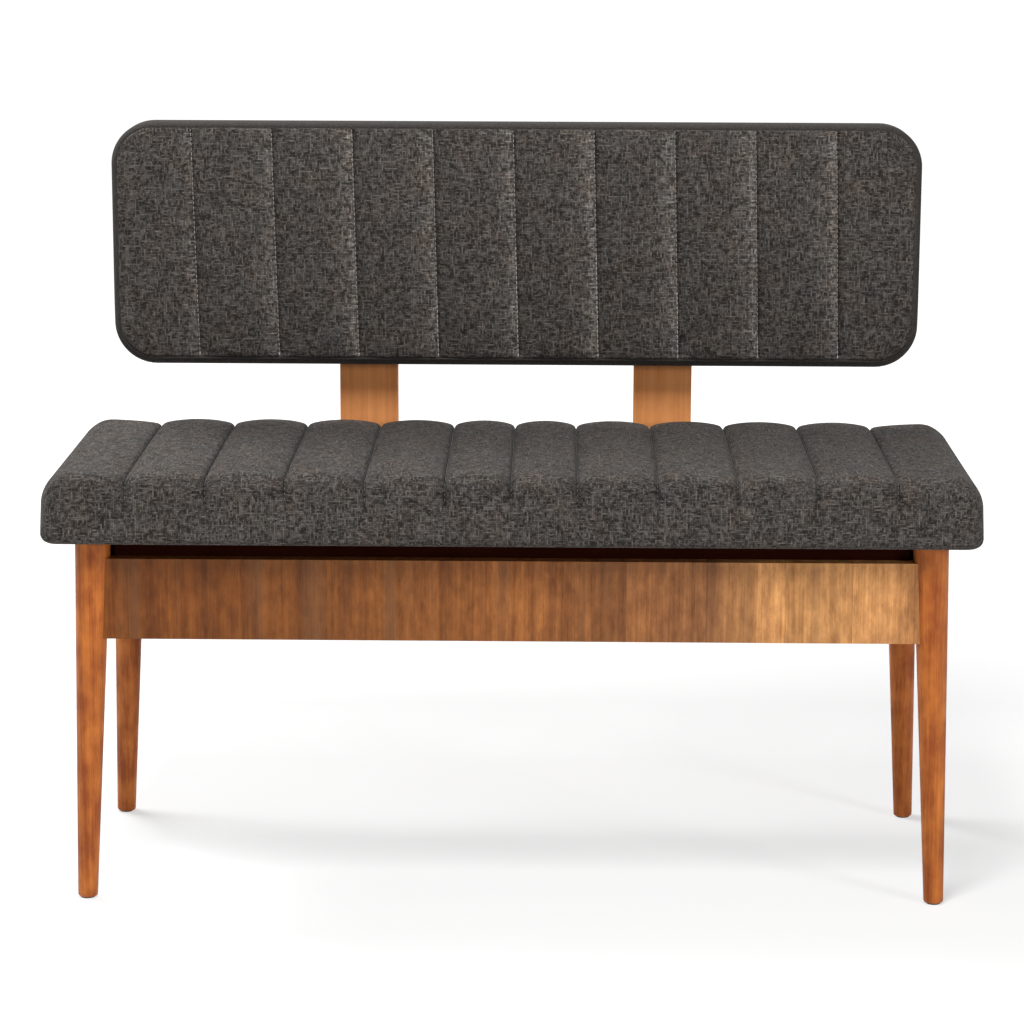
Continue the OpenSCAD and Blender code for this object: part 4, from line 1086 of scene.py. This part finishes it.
def quilt_back(flat, places, normals):
    """Draws the backrest's seams and its band's seam in, and crowns its front; also gives the painted
    highlight and painted shade along the seams.
    """
    from_band = band_distance(flat)
    in_panel = np.clip(from_band / PANEL_START, 0, 1)
    draw, gap, seam = channels(flat[:, 0], flat[:, 1], BACK_SEAMS, back_half.x, **BACK_QUILT)
    lap = np.exp(-((gap + LAP_PLACE) / LAP_REACH) ** 2) * LAP_RISE
    hollow = np.where(gap > 0, fading(gap, LAP_REACH) * LAP_RISE, 0)
    draw = (draw - lap + hollow) * in_panel
    draw = np.where(back_face, draw + fading(from_band, BAND_REACH) * BAND_DEPTH, 0)
    moved = places - normals * draw[:, None]
    spot_x, spot_y, height = spots(flat, back_half)
    moved[:, 2] += BACK_CROWN * (1 - spot_x ** 6) * (1 - spot_y ** 3) * height ** 3
    lean = BACK_LEAN * (-flat[:, 1]) / (2 * back_half.y)
    moved[:, 0] += lean * np.clip((back_half.x - np.abs(flat[:, 0]) - LEAN_FREE_EDGE) / LEAN_RISE, 0, 1)
    # Painted highlight on the lap's side of each seam and painted shade in its crease
    painted_highlight = np.where(gap < 0, fading(gap, LAP_HIGHLIGHT_REACH) * LAP_HIGHLIGHT, 0)
    painted_shade = np.where(gap > 0, fading(gap, LAP_SHADE_REACH) * LAP_SHADE, 0)
    return moved, np.where(back_face, (painted_highlight - painted_shade) * np.array(LAP_SHADING_STRENGTHS)[seam] * in_panel, 0)


def tipped_up(places, x, y, z):
    """Stands places up that were made lying down, so that their top faces the front, at x, y and z."""
    return np.stack([places[:, 0] + x, y - places[:, 2], places[:, 1] + z], 1)


lowness = eased((-back_flat[:, 1] / back_half.y - LOW_START) / LOW_LONG)
front_r = BACK_FRONT_R + (BACK_LOW_R - BACK_FRONT_R) * lowness
back_places, back_normals = round_block(back_flat, BACK_PLAN_R, front_r, BACK_REAR_R)
back_places, back_seam_shading = quilt_back(back_flat, back_places, back_normals)
lying_y = back_mid.y + back_stand.y - back_half.z
set_places(back_mesh, tipped_up(back_places, back_mid.x, lying_y, back_mid.z))
back_mesh.materials.append(cover_cloth)
back_mesh.materials.append(band_cloth)
in_band = (band_distance(face_middles) < 0) | (face_middles[:, 2] < back_half.z - 10 * TINY)
back_mesh.polygons.foreach_set("material_index", in_band.astype(np.int32))
finish_cover(back_mesh, back_flat, back_half, back_seam_shading, node_name="back_cover", **BACK_PADDING)
print("band faces", int(in_band.sum()))

# %% [markdown]
# ## Stitches
#
# A quilting seam is a row of short thread loops that lie in the valley it has pulled. Each stitch is a
# small stretched sphere whose ends sink into the cloth. They are real geometry, because from close by
# a painted line would look flat, but each has only thirty faces, as there are over a thousand.

# %% Stitch helpers
STITCH_LONG, STITCH_PITCH, STITCH_THICK = 0.0042, 0.0056, 0.0009
THREAD_GRAIN = 700


def seam_line(mesh, chosen, along):
    """The places of the chosen grid points, in order of their distance along the seam."""
    index = np.nonzero(chosen)[0]
    return places_of(mesh)[index[np.argsort(along[index])]]


def resampled(line, pitch):
    """Evenly spaced middles and directions along a polyline."""
    steps = np.linalg.norm(np.diff(line, axis=0), axis=1)
    run = np.concatenate([[0], np.cumsum(steps)])
    count = max(1, int(run[-1] / pitch))
    middles = (np.arange(count) + 0.5) * run[-1] / count

    def at(distance):
        return np.stack([np.interp(distance, run, line[:, a]) for a in range(3)], 1)

    direction = at(middles + pitch / 3) - at(middles - pitch / 3)
    return at(middles), direction / np.linalg.norm(direction, axis=1)[:, None]


def stitch_matrices(line, lift, pitch=STITCH_PITCH, long=STITCH_LONG, thick=STITCH_THICK):
    """The place, turn and size of each stitch of one row; lift is the offset from the line."""
    size = Matrix.Diagonal((long, thick, thick, 1))
    found = []
    for middle, direction in zip(*resampled(line, pitch)):
        turn = Vector(direction).to_track_quat("X", "Z").to_matrix().to_4x4()
        found.append(Matrix.Translation(Vector(middle) + Vector(lift)) @ turn @ size)
    return found


def repeated(bm, matrices):
    """A bmesh of many copies of the one shape, each put in place by its matrix."""
    packed = mesh_of(bm, "one_copy")
    bm = bmesh.new()
    bm.from_mesh(packed)
    bpy.data.meshes.remove(packed)
    shape = np.array([v.co[:] + (1,) for v in bm.verts])
    face_count = len(bm.faces)
    count = 1
    while count < len(matrices):
        extra = min(count, len(matrices) - count)
        bm.verts.ensure_lookup_table()
        bm.faces.ensure_lookup_table()
        bmesh.ops.duplicate(bm, geom=bm.verts[:extra * len(shape)] + bm.faces[:extra * face_count])
        count += extra
    bm.verts.ensure_lookup_table()
    for index, matrix in enumerate(matrices):
        placed_shape = shape @ np.array(matrix).T
        for vert, co in zip(bm.verts[index * len(shape):(index + 1) * len(shape)], placed_shape):
            vert.co = co[:3]
    return bm


def thread_piece(name, matrices, finish):
    """A piece of many stitches, each a small stretched sphere."""
    bm = bmesh.new()
    bmesh.ops.create_uvsphere(bm, u_segments=6, v_segments=5, radius=0.5)
    new_piece(mesh_of(repeated(bm, matrices), name), finish)
    print(name, len(matrices))


def thread_paint(name, dark, light):
    """Sewing thread: two tones mixed finely."""
    material, tree, shader = paint(name, Roughness=0.8, Specular_IOR_Level=0.2)
    fine = noise(object_places(tree), scale=THREAD_GRAIN, detail=2)["Fac"]
    fill(shader["Base Color"], blend_colour(fine, dark, light))
    return material


grey_thread = thread_paint("grey_thread", (0.15, 0.14, 0.13, 1), (0.28, 0.262, 0.245, 1))
# The backrest's thread is pale thread made paler still, as a painted highlight along the seams
pale_thread_with_highlight = thread_paint("pale_thread_with_highlight", (0.26, 0.245, 0.232, 1), (0.42, 0.4, 0.38, 1))
print("two thread finishes")

# %% Seat and backrest stitches
SEAT_STITCH_FALL = 0.03
SEAT_STITCH_LIFT, BACK_STITCH_LIFT = (0, -0.0001, 0.0002), (0, -0.0009, 0)
BACK_STITCH = {"pitch": 0.0058, "long": 0.0058, "thick": 0.0012}

seat_top = seat_flat[:, 2] > seat_half.z - TINY
seat_sewn = seat_top | ((seat_front | seat_rear) & (seat_fall < SEAT_STITCH_FALL))
seat_along = seat_flat[:, 1] + np.where(seat_front, -seat_fall, np.where(seat_rear, seat_fall, 0))
seat_rows = []
for seam in SEAT_SEAMS:
    chosen = (np.abs(seat_flat[:, 0] - seam) < TINY) & seat_sewn
    seat_rows += stitch_matrices(seam_line(seat_mesh, chosen, seat_along), SEAT_STITCH_LIFT)
thread_piece("seat_stitches", seat_rows, grey_thread)

back_sewn = back_face & (band_distance(back_flat) > MM)
back_rows = []
for seam in BACK_SEAMS:
    chosen = (np.abs(back_flat[:, 0] - seam) < TINY) & back_sewn
    line = seam_line(back_mesh, chosen, back_flat[:, 1])
    back_rows += stitch_matrices(line, BACK_STITCH_LIFT, **BACK_STITCH)
thread_piece("back_stitches", back_rows, pale_thread_with_highlight)

# %% [markdown]
# ## Foam
#
# Under each cover lies a slab of pale polyether foam, softly rounded, with shallow dents where the
# seams press into it. The finish is a fine open-cell grain.

# %% Foam finish and slabs
FOAM_EDGES = [0, 0.003, 0.006, 0.01]
FOAM_WIDEST, FOAM_WIDEST_UP, FOAM_LOW_R = 0.012, 0.01, 0.003
DENT_REACH, FOAM_FILL = 0.006, 0.7
SEAT_FOAM = {"plan_r": 0.03, "edge_r": 0.016, "seams": SEAT_SEAMS, "dent": 0.003}
BACK_FOAM = {"plan_r": 0.0377, "edge_r": 0.008, "seams": BACK_SEAMS, "dent": 0.002}


def cell_paint(name, roughness, gloss, cell_scale, cloud_scale, cloud_detail, first, second, strength, depth):
    """Fine cells in the height and soft clouds of two colours, for foam and for spunbond cloth."""
    material, tree, shader = paint(name, Roughness=roughness, Specular_IOR_Level=gloss)
    places = object_places(tree)
    cells = node(tree, "ShaderNodeTexVoronoi", Vector=places, Scale=cell_scale).outputs["Distance"]
    cloud = noise(places, scale=cloud_scale, detail=cloud_detail)["Fac"]
    fill(shader["Base Color"], blend_colour(cloud, first, second))
    bump(cells, shader, strength, depth)
    return material


def foam_slab(name, half, plan_r, edge_r, seams, dent):
    """A foam slab around the origin, lying down, with a dent along each seam."""
    xs = seam_stations(half.x, seams, FOAM_EDGES + [plan_r], FOAM_WIDEST)
    ys = filled(both_ends(half.y, FOAM_EDGES + [plan_r]), FOAM_WIDEST)
    zs = filled(both_ends(half.z, FOAM_EDGES[:3]), FOAM_WIDEST_UP)
    mesh = grid_block(name, (xs, ys, zs))
    flat = places_of(mesh)
    places, _ = round_block(flat, plan_r, edge_r, FOAM_LOW_R)
    gap, _ = nearest_seam(flat[:, 0], seams)
    places[:, 2] -= np.where(flat[:, 2] > half.z - TINY, fading(gap, DENT_REACH) * dent, 0)
    return mesh, places


pale_foam = cell_paint("pale_foam", roughness=0.95, gloss=0.1, cell_scale=900.0, cloud_scale=25,
                       cloud_detail=3, first=(0.86, 0.78, 0.5, 1), second=(0.76, 0.66, 0.4, 1),
                       strength=0.5, depth=0.0006)
foam_half, foam_mid = half_and_middle("seat_foam")
foam_mesh, foam_places = foam_slab("seat_foam_slab", foam_half, **SEAT_FOAM)
set_places(foam_mesh, foam_places + np.array(foam_mid))
finish_pad(new_piece(foam_mesh, pale_foam), "seat_foam")

foam_half, foam_mid = half_and_middle("back_foam")
lying = Vector((foam_half.x, foam_half.z, foam_half.y))
foam_mesh, foam_places = foam_slab("back_foam_slab", lying, **BACK_FOAM)
set_places(foam_mesh, tipped_up(foam_places, *foam_mid))
finish_pad(new_piece(foam_mesh, pale_foam), "back_foam")

# %% [markdown]
# ## Lining and back panel
#
# A thin black spunbond cloth closes the seat from below, and a panel of the cover cloth closes the
# backrest. Both are single sheets, stretched flat and fixed along their edges, so each is a grid with a
# little sag or puff between its fixings, made as thick as the cloth by a Solidify modifier.

# %% Stretched sheets
CLOTH_T = 0.0008
SHEET_EDGE = 0.006


def stretched_sheet(name, half_x, half_y, corner_r, widest, swell):
    """A grid with rounded corners around the origin; swell gives each point's height."""
    xs = filled(both_ends(half_x, [0, corner_r, SHEET_EDGE]), widest)
    ys = filled(both_ends(half_y, [0, corner_r, SHEET_EDGE]), widest)
    bm = bmesh.new()
    bmesh.ops.create_grid(bm, x_segments=len(xs) - 1, y_segments=len(ys) - 1, size=0.5)
    mesh = stretch_to(mesh_of(bm, name), (xs, ys))
    co = places_of(mesh)
    store_uv(mesh, co[read_out(mesh.loops, "vertex_index", int), :2])
    inset = np.minimum(half_x - np.abs(co[:, 0]), half_y - np.abs(co[:, 1]))
    inner, outward, reach = from_corners(co[:, :2], half_x, half_y, corner_r)
    co[:, :2] = inner + outward * reach[:, None]
    co[:, 2] = swell(co, inset)
    return mesh, co


def finish_sheet(piece, node_name, slot, half_x, half_y, side, rests_on, **more):
    thicken(piece, CLOTH_T, side)
    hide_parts(node_name)
    print(piece.name, round(half_x * 2, 4), "by", round(half_y * 2, 4), "m")


# %% Seat lining
LINING_SAG, LINING_FIXED, LINING_SLOPE = 0.0016, 0.045, 0.1
LINING_CORNER_R, LINING_WIDEST = 0.008, 0.014
LINING_WAVES, LINING_UNEVEN = (21, 17), 0.2
BATTENS = ["seat_batten_front", "seat_batten_rear", "seat_batten_left", "seat_batten_right"]


def lining_swell(co, inset):
    """Sags between the battens, with a little unevenness."""
    waves = np.sin(co[:, 0] * LINING_WAVES[0]) * np.sin(co[:, 1] * LINING_WAVES[1] + 1)
    uneven_sag = LINING_SAG * (1 - LINING_UNEVEN + LINING_UNEVEN * waves)
    return -eased((inset - LINING_FIXED) / LINING_SLOPE) * uneven_sag


spunbond = cell_paint("black_spunbond", roughness=0.9, gloss=0.15, cell_scale=520.0, cloud_scale=60,
                      cloud_detail=4, first=(0.012, 0.012, 0.013, 1), second=(0.035, 0.034, 0.034, 1),
                      strength=0.6, depth=0.0003)
lining_low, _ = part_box("seat_lining")
lining_half, lining_mid = half_and_middle("seat_lining")
lining_mesh, lining_places = stretched_sheet("seat_lining_sheet", lining_half.x, lining_half.y,
                                             LINING_CORNER_R, LINING_WIDEST, lining_swell)
set_places(lining_mesh, lining_places + np.array((lining_mid.x, lining_mid.y, lining_low.z)))
finish_sheet(new_piece(lining_mesh, spunbond), "seat_lining", "lining", lining_half.x, lining_half.y,
             side=1.0, rests_on=BATTENS)

# %% Back panel
PANEL_PUFF, PANEL_FIXED, PANEL_SLOPE = 0.0005, 0.006, 0.03
POST_X, POST_CLEAR, POST_SLOPE = 0.178, 0.04, 0.05
PANEL_WIDEST = 0.009
PANEL_WAVES, PANEL_UNEVEN = (23, 31), 0.5


def panel_swell(co, inset):
    """Puffs a little between the posts, and is flat under them."""
    from_post = np.abs(np.abs(co[:, 0]) - POST_X)
    free = np.clip((from_post - POST_CLEAR) / POST_SLOPE, 0, 1)
    free *= np.clip((inset - PANEL_FIXED) / PANEL_SLOPE, 0, 1)
    waves = np.sin(co[:, 0] * PANEL_WAVES[0]) * np.sin(co[:, 1] * PANEL_WAVES[1])
    return PANEL_PUFF * free * (1 + PANEL_UNEVEN * waves)


_, panel_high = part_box("back_panel")
panel_half, panel_mid = half_and_middle("back_panel")
panel_corner_r = BACK_PLAN_R - (back_half.x - panel_half.x)
panel_mesh, panel_places = stretched_sheet("back_panel_sheet", panel_half.x, panel_half.z, panel_corner_r,
                                           PANEL_WIDEST, panel_swell)
set_places(panel_mesh, panel_places[:, [0, 2, 1]] + np.array((panel_mid.x, panel_high.y, panel_mid.z)))
panel_mesh.flip_normals()
panel_area = 4 * panel_half.x * panel_half.z - (4 - math.pi) * panel_corner_r ** 2
finish_sheet(new_piece(panel_mesh, cover_cloth), "back_panel", "upholstery", panel_half.x, panel_half.z,
             side=-1.0, rests_on=["back_cover_quilted"], area=panel_area)

# %% [markdown]
# ## Staples and panel stitches
#
# Staples hold the seat cover's hem and the lining to the board, one every 26 mm. The back panel is
# slip-stitched to the cover all round. Both are thin trim that only shows from below or behind.

# %% Staples
STAPLE_PITCH, STAPLE_LONG, STAPLE_WIRE, STAPLE_ROUND = 0.026, 0.010, 0.0009, 0.0003
STAPLE_INSET, STAPLE_SKEW, STAPLE_SINK, STAPLE_FLAT = 0.004, 0.12, 0.2, 1.4


def ring_places(half_x, half_y, pitch):
    """Places round a rectangle, each with the direction of its side."""
    spots = []
    for side in (-1, 1):
        spots += [(x, side * half_y, 0.0) for x in np.arange(-half_x + pitch, half_x - pitch / 2, pitch)]
        spots += [(side * half_x, y, QUARTER) for y in np.arange(-half_y + pitch, half_y - pitch / 2, pitch)]
    return spots


staple_rng = random.Random(11)
staple_places = []
for x, y, turn in ring_places(lining_half.x - STAPLE_INSET, lining_half.y - STAPLE_INSET, STAPLE_PITCH):
    skew = Matrix.Rotation(turn + staple_rng.uniform(-STAPLE_SKEW, STAPLE_SKEW), 4, "Z")
    spot = Vector((x + lining_mid.x, y + lining_mid.y, lining_low.z - STAPLE_WIRE * STAPLE_SINK))
    staple_places.append(Matrix.Translation(spot) @ skew)
staple_bm = bmesh.new()
crown_size = Matrix.Diagonal((STAPLE_LONG, STAPLE_WIRE * STAPLE_FLAT, STAPLE_WIRE, 1))
bmesh.ops.create_cube(staple_bm, size=1.0, matrix=crown_size)
bmesh.ops.bevel(staple_bm, geom=staple_bm.edges[:], offset=STAPLE_ROUND, offset_type="OFFSET", affect="EDGES",
                segments=2, profile=0.5, material=-1)
staple_mesh = mesh_of(repeated(staple_bm, staple_places), "seat_staples")
new_piece(staple_mesh, zinc, smooth=False)
print("staples", len(staple_places))

# %% Panel stitches
PANEL_STITCH_INSET, PANEL_STITCH_RISE = 0.002, 0.0002
CORNER_STEP = 6
PANEL_STITCH = {"pitch": 0.008, "long": 0.005}

sewn_x, sewn_z = panel_half.x - PANEL_STITCH_INSET, panel_half.z - PANEL_STITCH_INSET
sewn_r = panel_corner_r - PANEL_STITCH_INSET
ring = []
for side_x, side_z, start in ((1, 1, 0), (-1, 1, 90), (-1, -1, 180), (1, -1, 270)):
    for angle in (math.radians(start + step) for step in range(0, 91, CORNER_STEP)):
        ring.append((side_x * (sewn_x - sewn_r) + sewn_r * math.cos(angle) + panel_mid.x,
                     panel_high.y + PANEL_STITCH_RISE,
                     side_z * (sewn_z - sewn_r) + sewn_r * math.sin(angle) + panel_mid.z))
ring.append(ring[0])
panel_rows = stitch_matrices(np.array(ring), (0, 0, 0), **PANEL_STITCH)
thread_piece("panel_stitches", panel_rows, grey_thread)
